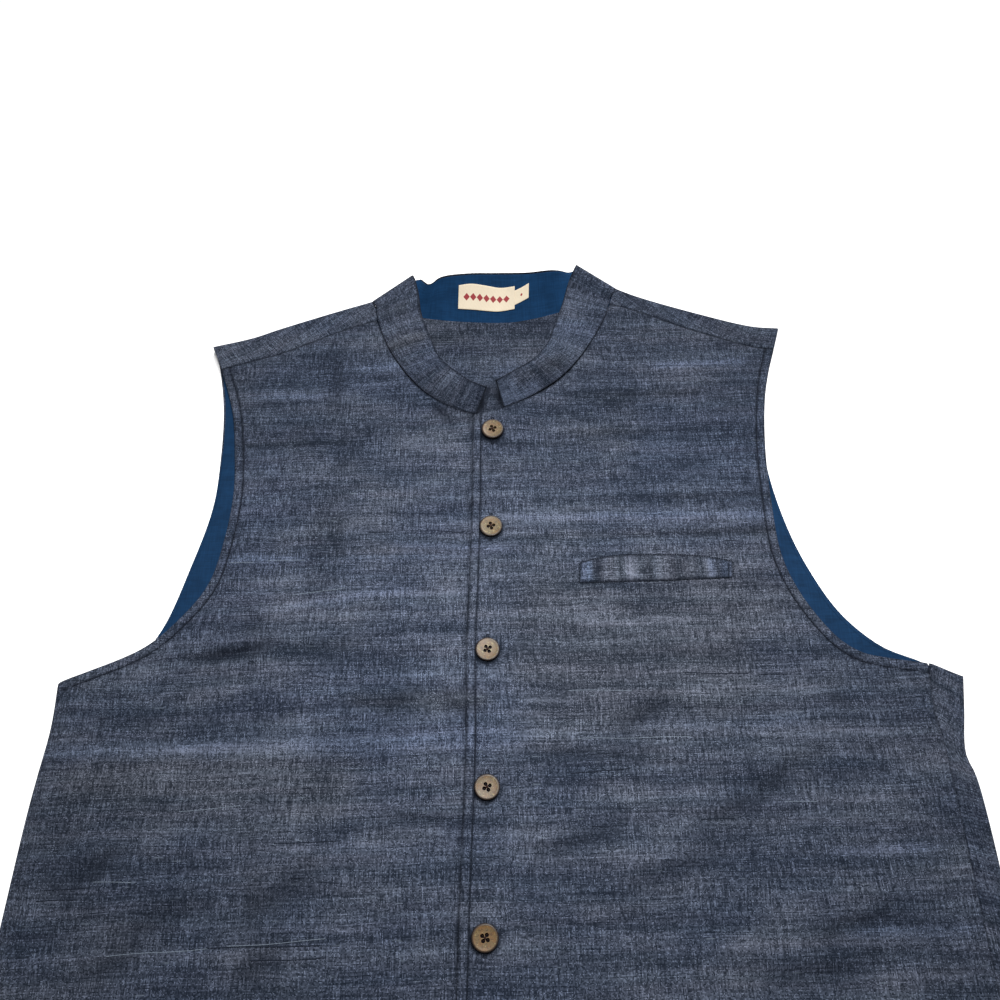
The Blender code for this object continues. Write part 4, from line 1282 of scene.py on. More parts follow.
def seat(base, stations, edge):
    """Moves the base of the collar between two stations to its clearance from a panel's edge."""
    start, step = edge[:-1], np.diff(edge, axis=0)
    for i in range(stations[0] * COLLAR_CELLS, stations[1] * COLLAR_CELLS + 1):
        share = ((base[i, :2] - start) * step).sum(axis=1) / (step ** 2).sum(axis=1)
        places = start + np.clip(share, 0, 1)[:, None] * step
        best = np.linalg.norm(places - base[i, :2], axis=1).argmin()
        along = step[best] / np.linalg.norm(step[best])
        base[i, :2] = places[best] + COLLAR_SEAT * np.array([-along[1], along[0]])


def collar_rows(shares):
    """Rows of points on the middle of the collar's outer face, at these shares from base to rim."""
    stations = [Station(*row) for row in COLLAR_STATIONS]
    base = through([(s.base_x, s.base_y, s.base_z) for s in stations], COLLAR_CELLS)
    rim = through([(s.rim_x, s.rim_y, s.rim_z) for s in stations], COLLAR_CELLS)
    right, back, left = neck_edges()
    seat(base, FRONT_STATIONS_RIGHT, right)
    seat(base, BACK_STATIONS, back)
    seat(base, FRONT_STATIONS_LEFT, left)
    at = np.arange(len(base)) / COLLAR_CELLS
    bulge = np.interp(at, np.arange(len(stations)), [s.bulge for s in stations])
    rise = rim - base
    out = unit(np.cross(rise, np.gradient(base, axis=0)))
    return np.array([base + v * rise + (4 * v * (1 - v) * bulge)[:, None] * out for v in shares])


def moved_in(rows, by):
    """Rows moved along the sheet's normal, towards the inside of the collar, evenly round its folds."""
    steps = unit(np.diff(rows, axis=1))
    turns = np.concatenate([2 * steps[:, :1], steps[:, :-1] + steps[:, 1:], 2 * steps[:, -1:]], axis=1)
    half_turn = np.maximum(SHARPEST_TURN, np.linalg.norm(turns, axis=2, keepdims=True) / 2)
    out = unit(np.cross(np.gradient(rows, axis=0), turns))
    return rows - np.broadcast_to(by, rows.shape[:2])[..., None] / half_turn * out


def label_wave(s, t):
    """How a soft label waves along itself, with a broad wave that grows to its top and a small one."""
    broad, small = 0.6 * np.sin(6.5 * s), 0.3 * np.sin(11 * s + 1)
    return broad[None] * (0.3 + t[:, None]) + small[None]


def on_collar(inner, top, bottom, cells):
    """Rows of points on the inner collar's back half, between two edges of (x, share of its height)."""
    first, last = (COLLAR_CELLS * station for station in LABEL_STATIONS)
    t = even(cells[1])[:, None, None]
    s = even(cells[0])
    places = (1 - t) * smooth_curve(bottom, s)[None] + t * smooth_curve(top, s)[None]
    band = inner[:, first:last + 1]
    rows = np.zeros(places.shape[:2] + (3,))
    for column in np.ndindex(places.shape[:2]):
        x, share = places[column]
        at = share * (len(band) - 1)
        low = min(int(at), len(band) - 2)
        line = band[low] + (at - low) * (band[low + 1] - band[low])
        rows[column] = x, np.interp(x, line[:, 0], line[:, 1]), np.interp(x, line[:, 0], line[:, 2])
    return rows


# ---------------------------------------------------------------- buttons

def turned_blank():
    """A dished disc with a thin raised rim, turned about z."""
    bm = bmesh.new()
    ring = [bm.verts.new((r * MM, 0, z * MM)) for r, z in BUTTON_PROFILE]
    edges = [bm.edges.new(pair) for pair in zip(ring, ring[1:])]
    bmesh.ops.spin(
        bm, geom=ring + edges, cent=(0, 0, 0), axis=(0, 0, 1), angle=2 * math.pi,
        steps=BUTTON_SIDES, use_merge=True,
    )
    bmesh.ops.remove_doubles(bm, verts=bm.verts, dist=MERGE)
    bmesh.ops.recalc_face_normals(bm, faces=bm.faces)
    return mesh_from(bm, "button_blank")


def hole_drill():
    """Four upright pegs in the places of the holes."""
    bm = bmesh.new()
    for sx in (-1, 1):
        for sy in (-1, 1):
            made = bmesh.ops.create_cone(
                bm, cap_ends=True, segments=HOLE_SIDES, radius1=HOLE_RADIUS * MM,
                radius2=HOLE_RADIUS * MM, depth=DRILL_DEPTH * MM,
            )
            offset = (sx * HOLE_OFFSET * MM, sy * HOLE_OFFSET * MM, 0)
            bmesh.ops.translate(bm, verts=made["verts"], vec=offset)
    return mesh_from(bm, "button_drill")


def drilled_blank():
    """The button's mesh with its four holes cut through."""
    blank = new_object("button_blank", turned_blank())
    drill = new_object("button_drill", hole_drill())
    cut = blank.modifiers.new("Holes", "BOOLEAN")
    cut.operation = "DIFFERENCE"
    cut.solver = "EXACT"
    cut.object = drill
    bpy.context.view_layer.update()
    ready = blank.evaluated_get(bpy.context.evaluated_depsgraph_get())
    mesh = bpy.data.meshes.new_from_object(ready)
    mesh.materials.clear()
    for helper in (blank, drill):
        bpy.data.objects.remove(helper, do_unlink=True)
    return mesh


def button_top(radius):
    """Height of the button's upper face at this distance from its centre."""
    upper = sorted((r, z) for r, z in BUTTON_PROFILE[6:])
    return float(np.interp(radius, [r for r, _ in upper], [z for _, z in upper]))


def button_place(number):
    """Where a button sits on the over front, as x, y and the height of its underside."""
    x, y = BUTTON_PLACES[number]
    reach = (-BUTTON_REST, 0, BUTTON_REST)
    steps = np.array([(dx, dy) for dx in reach for dy in reach], float)
    under = front_height((np.array([[x, y]]) + steps)[None], "left")[0]
    return x, y, float(under.max()) + SHELL_WALL / 2 + BUTTON_LIFT


def turned_about(x, y, turn, offset):
    """The place at an offset from (x, y), turned about it."""
    dx, dy = offset
    cosine, sine = math.cos(turn), math.sin(turn)
    return dx * cosine - dy * sine + x, dx * sine + dy * cosine + y


def cross_stitches(number):
    """The thread of one button: two crossing pairs of strands, and a strand up each hole."""
    x, y, z = button_place(number)
    turn = math.radians(BUTTON_TURNS[number])
    face = z + button_top(0.0)
    reach = HOLE_OFFSET - STRAND_INSET
    strands = []
    for cross, slope in enumerate((1, -1)):
        top = face + STRAND_LIFT + STRAND_GAP * cross
        for side in (-STRAND_GAP, STRAND_GAP):
            ends = [
                turned_about(x, y, turn, (end * reach - slope * side, end * slope * reach + side))
                for end in (-1, 1)
            ]
            strands.append(((*ends[0], top), (*ends[1], top)))
        for end in (-1, 1):
            hole = turned_about(x, y, turn, (end * HOLE_OFFSET, end * slope * HOLE_OFFSET))
            strands.append(((*hole, z + STRAND_FOOT), (*hole, face - STRAND_HEAD)))
    return strands


def buttonhole_stitches(number):
    """Purl stitches down both sides of one upright buttonhole and round its two ends."""
    place = BUTTON_PLACES[number]
    half = BUTTONHOLE_LENGTH / 2
    slit, edge = BUTTONHOLE_SLIT, BUTTONHOLE_WIDTH / 2
    rows = np.linspace(-half, half, BUTTONHOLE_ROWS)
    pairs = [((side * slit, dy), (side * edge, dy)) for dy in rows for side in (-1, 1)]
    inward, outward = BUTTONHOLE_FAN_REACH
    for dx in BUTTONHOLE_FAN:
        pairs += [((dx, end * (half - inward)), (dx, end * (half + outward))) for end in (-1, 1)]
    starts, ends = np.array(pairs).transpose(1, 0, 2) + place
    return stitches_between(starts, ends, height_of("left"), SHELL_WALL / 2 + BUTTONHOLE_LIFT)


# ---------------------------------------------------------------- finishes

# Noise and weave are sized in millimetres along the cut cloth, and in the buttons along x, y and z

def maths(operation, swapped=False):
    """A method that adds the Math node of this operation, with its two values swapped if asked."""
    def add_node(self, *others):
        values = (*others, self) if swapped else (self, *others)
        return self.finish.node("ShaderNodeMath", {"operation": operation}, dict(enumerate(values)))
    return add_node


class Value:
    """A number that varies over a surface. Python's operators on it add Math nodes."""

    def __init__(self, finish, socket):
        self.finish = finish
        self.socket = socket

    __add__ = maths("ADD")
    __radd__ = maths("ADD", swapped=True)
    __sub__ = maths("SUBTRACT")
    __rsub__ = maths("SUBTRACT", swapped=True)
    __mul__ = maths("MULTIPLY")
    __rmul__ = maths("MULTIPLY", swapped=True)
    __truediv__ = maths("DIVIDE")
    most = maths("MAXIMUM")
    fraction = maths("FRACT")
    size = maths("ABSOLUTE")
    whole = maths("FLOOR")
    wave = maths("SINE")

    def step(self, low, high):
        """0 below low, 1 above high, soft between them."""
        settings = {"interpolation_type": "SMOOTHSTEP"}
        return self.finish.node("ShaderNodeMapRange", settings, {0: self, 1: low, 2: high})


class Finish:
    """A material whose nodes all come from one method."""

    def __init__(self, name, roughness, **sockets):
        self.material = bpy.data.materials.new(name)
        self.material.use_nodes = True
        self.tree = self.material.node_tree
        self.shader = self.tree.nodes["Principled BSDF"]
        self.shader.inputs["Roughness"].default_value = roughness
        for socket, value in sockets.items():
            self.shader.inputs[socket.replace("_", " ")].default_value = value

    def node(self, kind, settings=None, values=None, output=0):
        """Adds a node, with its settings first, then the values or links of its sockets."""
        made = self.tree.nodes.new(kind)
        for key, value in (settings or {}).items():
            setattr(made, key, value)
        for key, value in (values or {}).items():
            if isinstance(value, Value):
                self.tree.links.new(value.socket, made.inputs[key])
            else:
                made.inputs[key].default_value = value
        return Value(self, made.outputs[output])

    def parts(self, vector):
        """The three numbers of a vector."""
        split = self.node("ShaderNodeSeparateXYZ", None, {0: vector})
        return [Value(self, output) for output in split.socket.node.outputs]

    def place(self):
        """The place on the object, in metres."""
        return self.parts(self.node("ShaderNodeTexCoord", None, None, 3))

    def cloth_place(self):
        """The place on the cut cloth, in millimetres."""
        u, v, _ = self.parts(self.node("ShaderNodeUVMap", {"uv_map": "cloth"}))
        return u * 1000.0, v * 1000.0

    def noise(self, x, y, z=0.0, detail=2.0, roughness=0.5):
        """Noise from 0 to 1 at a place of which each part is a number."""
        place = self.node("ShaderNodeCombineXYZ", None, {0: x, 1: y, 2: z})
        values = {"Vector": place, "Scale": 1.0, "Detail": detail, "Roughness": roughness}
        return self.node("ShaderNodeTexNoise", {"noise_dimensions": "3D"}, values)

    def grain(self, x, y):
        """A number from 0 to 1 for each pair of whole numbers, unlike its neighbours."""
        place = self.node("ShaderNodeCombineXYZ", None, {0: x, 1: y})
        return self.node("ShaderNodeTexWhiteNoise", {"noise_dimensions": "2D"}, {"Vector": place})

    def blend(self, factor, first, second):
        """A colour between two others."""
        return self.node("ShaderNodeMix", {"data_type": "RGBA"}, {0: factor, 6: first, 7: second}, 2)

    def tinted(self, share, colour, tint):
        """A colour multiplied by a tint, as far as the share says."""
        settings = {"data_type": "RGBA", "blend_type": "MULTIPLY"}
        return self.node("ShaderNodeMix", settings, {0: share, 6: colour, 7: tint}, 2)

    def attribute(self, name):
        """The number that give_points kept for each point under this name."""
        return self.node("ShaderNodeAttribute", {"attribute_name": name}, None, 2)

    def show(self, value, socket="Base Color"):
        """Feeds one of the shader's sockets."""
        self.tree.links.new(value.socket, self.shader.inputs[socket])

    def relief(self, height, distance, strength=1.0):
        """Bump from a height of 0 to 1, which stands this many millimetres high."""
        values = {"Height": height, "Distance": distance * MM, "Strength": strength}
        self.show(self.node("ShaderNodeBump", None, values), "Normal")


def rgb(colour, share=1.0):
    """A colour with its alpha, made lighter or darker by a share."""
    return (*(part * share for part in colour), 1.0)


def woven_place(finish):
    """The place on the cut cloth, in millimetres, with the threads drawn slightly out of line."""
    u, v = finish.cloth_place()
    sway = finish.noise(u / 70.0, v / 40.0, 3.0, 1.0)
    lean = finish.noise(u / 26.0, v / 90.0, 7.0, 1.0)
    return u + (lean - 0.5) * 3.0, v + (sway - 0.5) * 5.0


def plain_weave(u, v, pitch):
    """Height of a plain weave of this pitch: threads that pass over and under each other."""
    across = (u * (math.pi / pitch)).wave()
    along = (v * (math.pi / pitch)).wave()
    return 0.5 + 0.5 * across * along


def thread_top(u, v):
    """Roundness of the thread that passes over here: 1 along its middle, 0 in the gap beside it."""
    across, along = u / THREAD_PITCH, v / THREAD_PITCH
    over = ((across.whole() + along.whole()) / 2.0).fraction() * 2.0
    off = (across.fraction() - 0.5).size() * (1.0 - over) + (along.fraction() - 0.5).size() * over
    return 1.0 - 4.0 * off * off


def chambray(name, sizes):
    """Slubby cotton of dark warp and uneven pale weft, in heathered bands along the weft, with painted
    shade in its seams, creases and the gaps between threads.
    """
    finish = Finish(name, 0.9, Sheen_Weight=sizes.sheen, Sheen_Roughness=0.5, Specular_IOR_Level=0.06)
    u, v = woven_place(finish)
    end_number, pick_number = (u / THREAD_PITCH).whole(), (v / THREAD_PITCH).whole()
    grain = finish.grain(end_number, pick_number)
    pick = finish.noise(u / 5.0, pick_number * 1.37, 1.0, 1.0, 0.6)
    long_pick = finish.noise(u / 40.0, pick_number * 1.37, 5.0, 2.0)
    end = finish.noise(end_number * 1.37, v / 12.0, 9.0, 1.0, 0.6)
    open_weave = finish.noise(u / 22.0, v / 30.0, 29.0, 2.0).step(0.35, 0.65)
    band = finish.noise(u / 260.0, v / 11.0, 17.0, 3.0, 0.6)
    cloud = finish.noise(u / 60.0, v / 36.0, 23.0, 2.0)
    spread = grain - 0.5
    spread = spread * (0.36 + spread * spread * 4.0)
    yarn = 0.60 + (pick - 0.5) * 0.45 + (end - 0.5) * (0.75 + 0.85 * open_weave) + spread * 0.74
    yarn = yarn + (long_pick - 0.5) * 1.15 + (band - 0.5) * 0.8 + (cloud - 0.5) * 0.7
    # the patches' tone: the yarn's own, with painted shade and painted light in some patches
    yarn = (yarn + finish.attribute("yarn_tone") * 1.3).most(0.0)
    top = thread_top(u, v)
    # darker in the gaps between threads, where top is 0: painted shade
    light = yarn * yarn * (0.306 + 0.306 * top)
    slub = finish.noise(u / 13.0, pick_number * 1.91, 37.0, 1.0).step(0.70, 0.80)
    dash = finish.noise(u / 11.0, pick_number * 2.17, 31.0, 1.0).step(0.68, 0.78)
    base = finish.blend(light, rgb(sizes.warp_colour), rgb(sizes.weft_colour))
    warm = 0.45 + (band - 0.5) * 0.4 + (cloud - 0.5) * 1.2 + finish.attribute("yarn_warmth")
    cool = finish.noise(u / 110.0, v / 8.0, 41.0, 1.0).step(0.25, 0.75)
    base = finish.tinted(warm.step(0.0, 1.0), base, rgb(sizes.warm_tint))
    base = finish.tinted(cool, base, rgb(sizes.cool_tint))
    base = finish.blend(slub * 0.4, base, rgb(sizes.slub_colour))
    base = finish.blend(dash * 0.4, base, rgb(sizes.warp_colour, 0.75))
    # painted shade from the seam_shade attribute, blended towards a darker warp colour
    seam = finish.attribute("seam_shade")
    finish.show(finish.blend(seam, base, rgb(sizes.warp_colour, 0.55)))
    height = 0.4 * top + 0.4 * grain + 0.3 * pick + 0.26 * end + 0.3 * slub
    finish.relief(height, 0.14, 0.8)
    return finish.material


def lining_cloth(name, colour):
    """Smooth, tightly woven cotton in deep blue with soft rubbed lights."""
    finish = Finish(name, 0.8, Specular_IOR_Level=0.06)
    u, v = woven_place(finish)
    weft = finish.noise(u / 16.0, v / 1.1, 2.0, 2.0, 0.6)
    warp = finish.noise(u / 1.0, v / 18.0, 4.0, 2.0, 0.6)
    rub = finish.noise(u / 20.0, v / 11.0, 6.0, 3.0, 0.6)
    light = 0.45 + (weft - 0.5) * 0.7 + (warp - 0.5) * 0.7 + (rub - 0.5) * 0.9
    finish.show(finish.blend(light.step(-0.1, 1.1), rgb(colour, 0.62), rgb(colour, 1.45)))
    finish.relief(0.5 * plain_weave(u, v, 0.34) + 0.25 * weft + 0.25 * warp, 0.07, 0.8)
    return finish.material


def label_cloth(name, sizes, marked):
    """Satin-woven cream tape, with a row of small woven diamonds where it is marked."""
    finish = Finish(name, 0.55, Sheen_Weight=0.2, Sheen_Roughness=0.4, Specular_IOR_Level=0.35)
    u, v = finish.cloth_place()
    thread = finish.noise(u / 0.35, v / 5.0, 1.0, 2.0)
    soil = finish.noise(u / 12.0, v / 8.0, 3.0, 2.0)
    light = 0.5 + (thread - 0.5) * 0.8 + (soil - 0.5) * 0.6
    ground = finish.blend(light, rgb(sizes.label_colour, 0.86), rgb(sizes.label_colour, 1.08))
    pitch = 5.6 if marked else 3.4
    reach = (19.5, 2.9) if marked else (2.0, 1.3)
    cell = ((u / pitch + 0.5).fraction() - 0.5).size() * (pitch / reach[1])
    diamond = cell + v.size() / reach[1]
    mark = (1.0 - diamond.step(0.86, 1.0)) * (1.0 - u.size().step(reach[0], reach[0] + 0.2))
    finish.show(finish.blend(mark, ground, rgb(sizes.label_mark)))
    twill = ((u + v) / 0.5).wave() * 0.5 + 0.5
    finish.relief(0.4 * thread + 0.25 * twill + 0.35 * mark, 0.09, 0.8)
    return finish.material


def coconut_shell(name, sizes):
    """Pale brown shell with fine fibres, painted glints, a darker rim that is partly painted shade, and
    a soft polish.
    """
    finish = Finish(name, 0.45, Specular_IOR_Level=0.3, Coat_Weight=0.05, Coat_Roughness=0.35)
    x, y, z = (part * 1000.0 for part in finish.place())
    fibre = finish.noise(x / 0.45, y / 6.0, z / 2.0, 3.0, 0.6)
    cloud = finish.noise(x / 7.0, y / 4.0, z / 4.0, 2.0)
    fleck = finish.noise(x / 1.2, y / 0.9, z / 0.9, 2.0).step(0.54, 0.66)
    painted_glint = finish.noise(x / 1.6, y / 1.1, z / 1.1 + 9.0, 2.0).step(0.60, 0.66)
    mottle = finish.noise(x / 3.4, y / 2.8, z / 2.8 + 4.0, 2.0).step(0.38, 0.62)
    batch = finish.noise(x / 55.0, y / 60.0, 5.0, 0.0).step(0.35, 0.65)
    rim = finish.attribute("rim_share")
    light = 0.52 + (fibre - 0.5) * 1.2 + (cloud - 0.5) * 1.1 + finish.attribute("shell_tone")
    base = finish.blend(light, rgb(sizes.button_colour, 0.68), rgb(sizes.button_colour, 1.25))
    base = finish.blend(batch * 0.3 + mottle * 0.5, base, rgb(sizes.button_pale))
    # painted highlights: small pale spots standing in for glints of light
    base = finish.blend(painted_glint * 0.7, base, rgb(sizes.button_pale, 2.6))
    base = finish.blend(fleck * 0.55, base, rgb(sizes.button_rim, 1.2))
    # darker rim all round: partly the shell's own dark edge, partly painted shade at the button's edge
    base = finish.blend(rim * 0.95, base, rgb(sizes.button_rim))
    finish.show(base)
    finish.show(0.36 + fibre * 0.2, "Roughness")
    finish.relief(fibre * 0.6 + cloud * 0.4, 0.05, 0.6)
    return finish.material


def sewing_thread(name, colour):
    """Twisted cotton thread."""
    finish = Finish(name, 0.8, Specular_IOR_Level=0.12)
    x, y, z = finish.place()
    twist = ((x + y + z) * 9000.0).wave() * 0.5 + 0.5
    wear = finish.noise(x * 400.0, y * 400.0, z * 400.0)
    light = 0.3 + twist * 0.3 + (wear - 0.5) * 0.6
    finish.show(finish.blend(light, rgb(colour, 0.7), rgb(colour, 1.5)))
    finish.relief(twist, 0.05, 0.6)
    return finish.material


def studio_floor(name, colour):
    """Matt paper with the faintest mottling."""
    finish = Finish(name, 0.9, Specular_IOR_Level=0.1)
    x, y, _ = finish.place()
    mottle = finish.noise(x * 60.0, y * 60.0, 0.0, 3.0)
    finish.show(finish.blend(mottle, rgb(colour, 0.985), rgb(colour, 1.0)))
    return finish.material


def finish_named(name):
    """One of the jacket's finishes, made the first time that a piece asks for it."""
    sizes = bpy.context.scene.jacket_finish
    make, *settings = {
        "shell_chambray": (chambray, sizes),
        "dark_slubs_yarn": (sewing_thread, sizes.warp_colour),
        "pale_slubs_yarn": (sewing_thread, sizes.slub_colour),
        "lining_cotton": (lining_cloth, sizes.lining_colour),
        # the collar's lining: the same lining cloth, painted lighter for the light on the collar
        "collar_lining_cotton": (lining_cloth, sizes.lit_collar_lining_colour),
        "label_satin": (label_cloth, sizes, True),
        "tab_satin": (label_cloth, sizes, False),
        "coconut_shell": (coconut_shell, sizes),
        "navy_thread": (sewing_thread, sizes.thread_colour),
        "brown_thread": (sewing_thread, sizes.button_thread),
    }[name]
    return bpy.data.materials.get(name) or make(name, *settings)


# ---------------------------------------------------------------- operators

def declare(piece, node=None):
    """Fixes a piece to the jacket, and hides the CAD part that it stands for."""
    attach(piece, "root")
    if node:
        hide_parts(node)


def colour(name, description, default, most=1.0):
    """A colour that a user can change."""
    return bpy.props.FloatVectorProperty(
        name=name, description=description, subtype="COLOR", size=3, min=0.0, max=most, default=default,
    )


def number(name, description, default, **kind):
    """A number that a user can change, with the unit or subtype that fits it."""
    return bpy.props.FloatProperty(name=name, description=description, default=default, **kind)


class JacketFinish(bpy.types.PropertyGroup):
    """Colours and cloth settings."""

    warp_colour: colour("Warp", "Colour of the dark threads of the shell", (0.0066, 0.0098, 0.0178))
    weft_colour: colour("Weft", "Colour of the pale threads of the shell", (0.1140, 0.1377, 0.2077))
    slub_colour: colour("Slub", "Colour of the thick pale slubs", (0.120, 0.146, 0.182))
    warm_tint: colour("Warm tint", "Tint of the warmer bands of weft", (1.11, 1.0, 0.86), 2.0)
    cool_tint: colour("Cool tint", "Tint of the cooler stretches of weft", (0.94, 1.0, 1.0), 2.0)
    sheen: number("Sheen", "Weight of the shell's sheen", 0.015, subtype="FACTOR", min=0.0, max=1.0)
    lining_colour: colour("Lining", "Colour of the lining of the back", (0.0045, 0.0205, 0.0530))
    # The collar's lining is the same cloth as the back's, painted lighter for the light that falls on
    # the collar
    lit_collar_lining_colour: colour(
        "Collar lining", "Colour of the collar's lining", (0.0065, 0.0330, 0.0880),
    )
    label_colour: colour("Label", "Ground colour of the label and the tab", (0.74, 0.635, 0.475))
    label_mark: colour("Label marks", "Colour of the woven diamonds", (0.28, 0.02, 0.025))
    button_colour: colour("Button", "Colour of the buttons' faces", (0.086, 0.0455, 0.0155))
    button_pale: colour("Pale button", "Colour of the greyer buttons' faces", (0.070, 0.058, 0.0270))
    button_rim: colour("Button rim", "Colour of the buttons' edges", (0.013, 0.007, 0.005))
    button_thread: colour("Button thread", "Colour of the buttons' thread", (0.020, 0.009, 0.007))
    thread_colour: colour("Thread", "Colour of the sewing thread", (0.0050, 0.0075, 0.0140))


class JacketStage(bpy.types.PropertyGroup):
    """Floor and lights."""

    floor_colour: colour("Floor", "Colour of the floor", (0.97, 0.97, 0.97))
    floor_radius: number("Floor radius", "Radius of the floor", 6.0, subtype="DISTANCE", unit="LENGTH")
    key_from: bpy.props.FloatVectorProperty(
        name="Key from", description="Direction that the key light comes from", subtype="DIRECTION",
        size=3, default=(0.27, 0.66, 0.70),
    )
    key_strength: number("Key light", "Strength of the key light", 3.4)
    key_angle: number(
        "Key softness", "Angle that the key light fills", math.radians(16), subtype="ANGLE",
    )
    pool_place: bpy.props.FloatVectorProperty(
        name="Pool light place", description="Place of the round light overhead", subtype="TRANSLATION",
        unit="LENGTH", size=3, default=(0.02, 0.09, 0.55),
    )
    pool_size: number(
        "Pool light size", "Width of the round light overhead", 0.22, subtype="DISTANCE", unit="LENGTH",
    )
    pool_power: number("Pool light", "Power of the round light overhead", 1.75, unit="POWER")
    pool_spread: number(
        "Pool light spread", "Angle that the overhead light spreads over", math.radians(110),
        subtype="ANGLE",
    )
    sky: number("Surround", "Strength of the even light from all round", 0.33)


class JACKET_OT_back(bpy.types.Operator):
    """Build the back with its turned shoulders and side, its lining and the neck facing"""

    bl_idname = "jacket.back"
    bl_label = "Back, lining and facing"

    def execute(self, context):
        shell, cotton = finish_named("shell_chambray"), finish_named("lining_cotton")
        back = cloth_piece("back_panel", back_sheets(), BACK_WALL, shell, YARN_AND_PAINTED_SHADE_PATCHES)
        declare(back, "back")
        plan, rows = lining_rows()
        lining = cloth_piece("lining_panel", [Sheet(rows, plan)], LINING_WALL, cotton)
        declare(lining, "back_lining")
        facing = cloth_piece("facing_panel", [facing_sheet()], SHELL_WALL, shell, FACING_PATCHES)
        declare(facing, "neck_facing")
        return {"FINISHED"}


class JACKET_OT_fronts(bpy.types.Operator):
    """Build the two fronts with their creases and pressed edges, and their thick yarns"""

    bl_idname = "jacket.fronts"
    bl_label = "Fronts"

    def execute(self, context):
        shell = finish_named("shell_chambray")
        right, left = front_right_rows(), front_left_rows()
        for name, node, which, plan, grain, rests_on in (
            ("right_front", "front_right", "right", right, GRAIN_RIGHT, ["lining_panel"]),
            ("left_front", "front_left", "left", left, GRAIN_LEFT, ["lining_panel", "right_front"]),
        ):
            rows = at_height(plan, front_height(plan, which))
            sheet = Sheet(rows, plan, grain, front_shade(plan, which))
            front = cloth_piece(name, [sheet], SHELL_WALL, shell, YARN_AND_PAINTED_SHADE_PATCHES)
            declare(front, node)
        for name, slubs, radius in (
            ("dark_slubs", DARK_SLUBS, DARK_SLUB_RADIUS),
            ("pale_slubs", PALE_SLUBS, PALE_SLUB_RADIUS),
        ):
            yarn = finish_named(name + "_yarn")
            declare(thread_piece(name, slub_yarns(slubs), radius, yarn))
        return {"FINISHED"}


class JACKET_OT_collar(bpy.types.Operator):
    """Build the band collar, its lining, the label and the size tab"""

    bl_idname = "jacket.collar"
    bl_label = "Collar and label"

    def execute(self, context):
        shell, cotton = finish_named("shell_chambray"), finish_named("collar_lining_cotton")
        outer = collar_rows(even(COLLAR_ROWS))
        run = run_of(outer[0])
        height = np.linspace(0, COLLAR_HEIGHT, COLLAR_ROWS + 1)
        cloth = grid_of(run, height)
        # painted shade along the collar's base, its rim and its two ends
        shade = line_shade(height, NECK_SHADE, SEAM_WIDTH)
        shade = shade + line_shade(COLLAR_HEIGHT - height, RIM_SHADE, RIM_WIDTH)
        shade = shade[:, None] + line_shade(np.minimum(run, run[-1] - run), RIM_SHADE, RIM_WIDTH)[None]
        sheet = Sheet(moved_in(outer, COLLAR_SHELL_INSET), cloth, GRAIN_COLLAR, shade)
        band = cloth_piece("collar_shell", [sheet], COLLAR_WALL, shell, COLLAR_PATCHES)
        declare(band, "collar_outer")
        inner = moved_in(outer, COLLAR_LINING_INSET)
        inside = (slice(-1), slice(COLLAR_LINING_END_CUT, -COLLAR_LINING_END_CUT))
        lined = Sheet(inner[inside], cloth[inside])
        lining = cloth_piece("collar_lining", [lined], COLLAR_LINING_WALL, cotton)
        declare(lining, "collar_inner")
        label, tab = (LABEL_TOP, LABEL_BOTTOM, LABEL_CELLS), (TAB_TOP, TAB_BOTTOM, TAB_CELLS)
        for name, node, tape, clear, waves, finish in (
            ("label_tape", "label", label, LABEL_CLEARANCE, LABEL_WAVE, "label_satin"),
            ("size_tape", "size_tab", tab, TAB_CLEARANCE, 0.0, "tab_satin"),
        ):
            s, t = map(even, tape[-1])
            rows = moved_in(on_collar(inner, *tape), clear + label_wave(s, t) * waves)
            width = run_of(rows[0])[-1]
            tall = run_of(rows[:, 0])[-1]
            sheet = Sheet(rows, grid_of((s - 0.5) * width, (t - 0.5) * tall))
            made = cloth_piece(name, [sheet], LABEL_WALL, finish_named(finish))
            declare(made, node)
        return {"FINISHED"}


class JACKET_OT_welt(bpy.types.Operator):
    """Build the welt of the chest pocket, a dark line of painted shade along its mouth, and the stitches
    at its ends
    """

    bl_idname = "jacket.welt"
    bl_label = "Pocket welt"

    def execute(self, context):
        shell = finish_named("shell_chambray")
        welt = cloth_piece("chest_welt", [welt_sheet()], WELT_WALL, shell, WELT_PATCHES)
        declare(welt, "pocket_welt")
        lower, upper = through(WELT_LOWER, SEWN_CELLS), through(WELT_UPPER, SEWN_CELLS)
        # mouth: dark beads along the pocket's opening and down its right end, painted shade of the
        # opening
        mouth = np.vstack([upper + (0, 0.7), upper[-1] + (0.9, -1.0), lower[-1] + (1.0, 0.6)])
        inner_end = np.array([upper[-1] + (-WELT_STITCH, -1.0), lower[-1] + (-WELT_STITCH + 0.4, 1.0)])
        outer_end = np.array([lower[0] + (-0.6, -0.4), upper[0] + (-0.6, 0.4)])
        stitches = []
        for route, pitch, lift in (
            (mouth, WELT_MOUTH_PITCH, SHELL_WALL / 2),
            (inner_end, STITCH_PITCH, SHELL_WALL / 2 + WELT_WALL + WELT_THREAD_LIFT),
            (outer_end, STITCH_PITCH, SHELL_WALL / 2),
        ):
            cells = round(run_of(route)[-1] / pitch)
            stitches += stitches_on(at_shares(route, even(cells)), height_of("left"), lift)
        sewn = thread_piece("welt_stitches_and_mouth_shade", stitches, WELT_THREAD_RADIUS, finish_named("navy_thread"))
        declare(sewn)
        return {"FINISHED"}


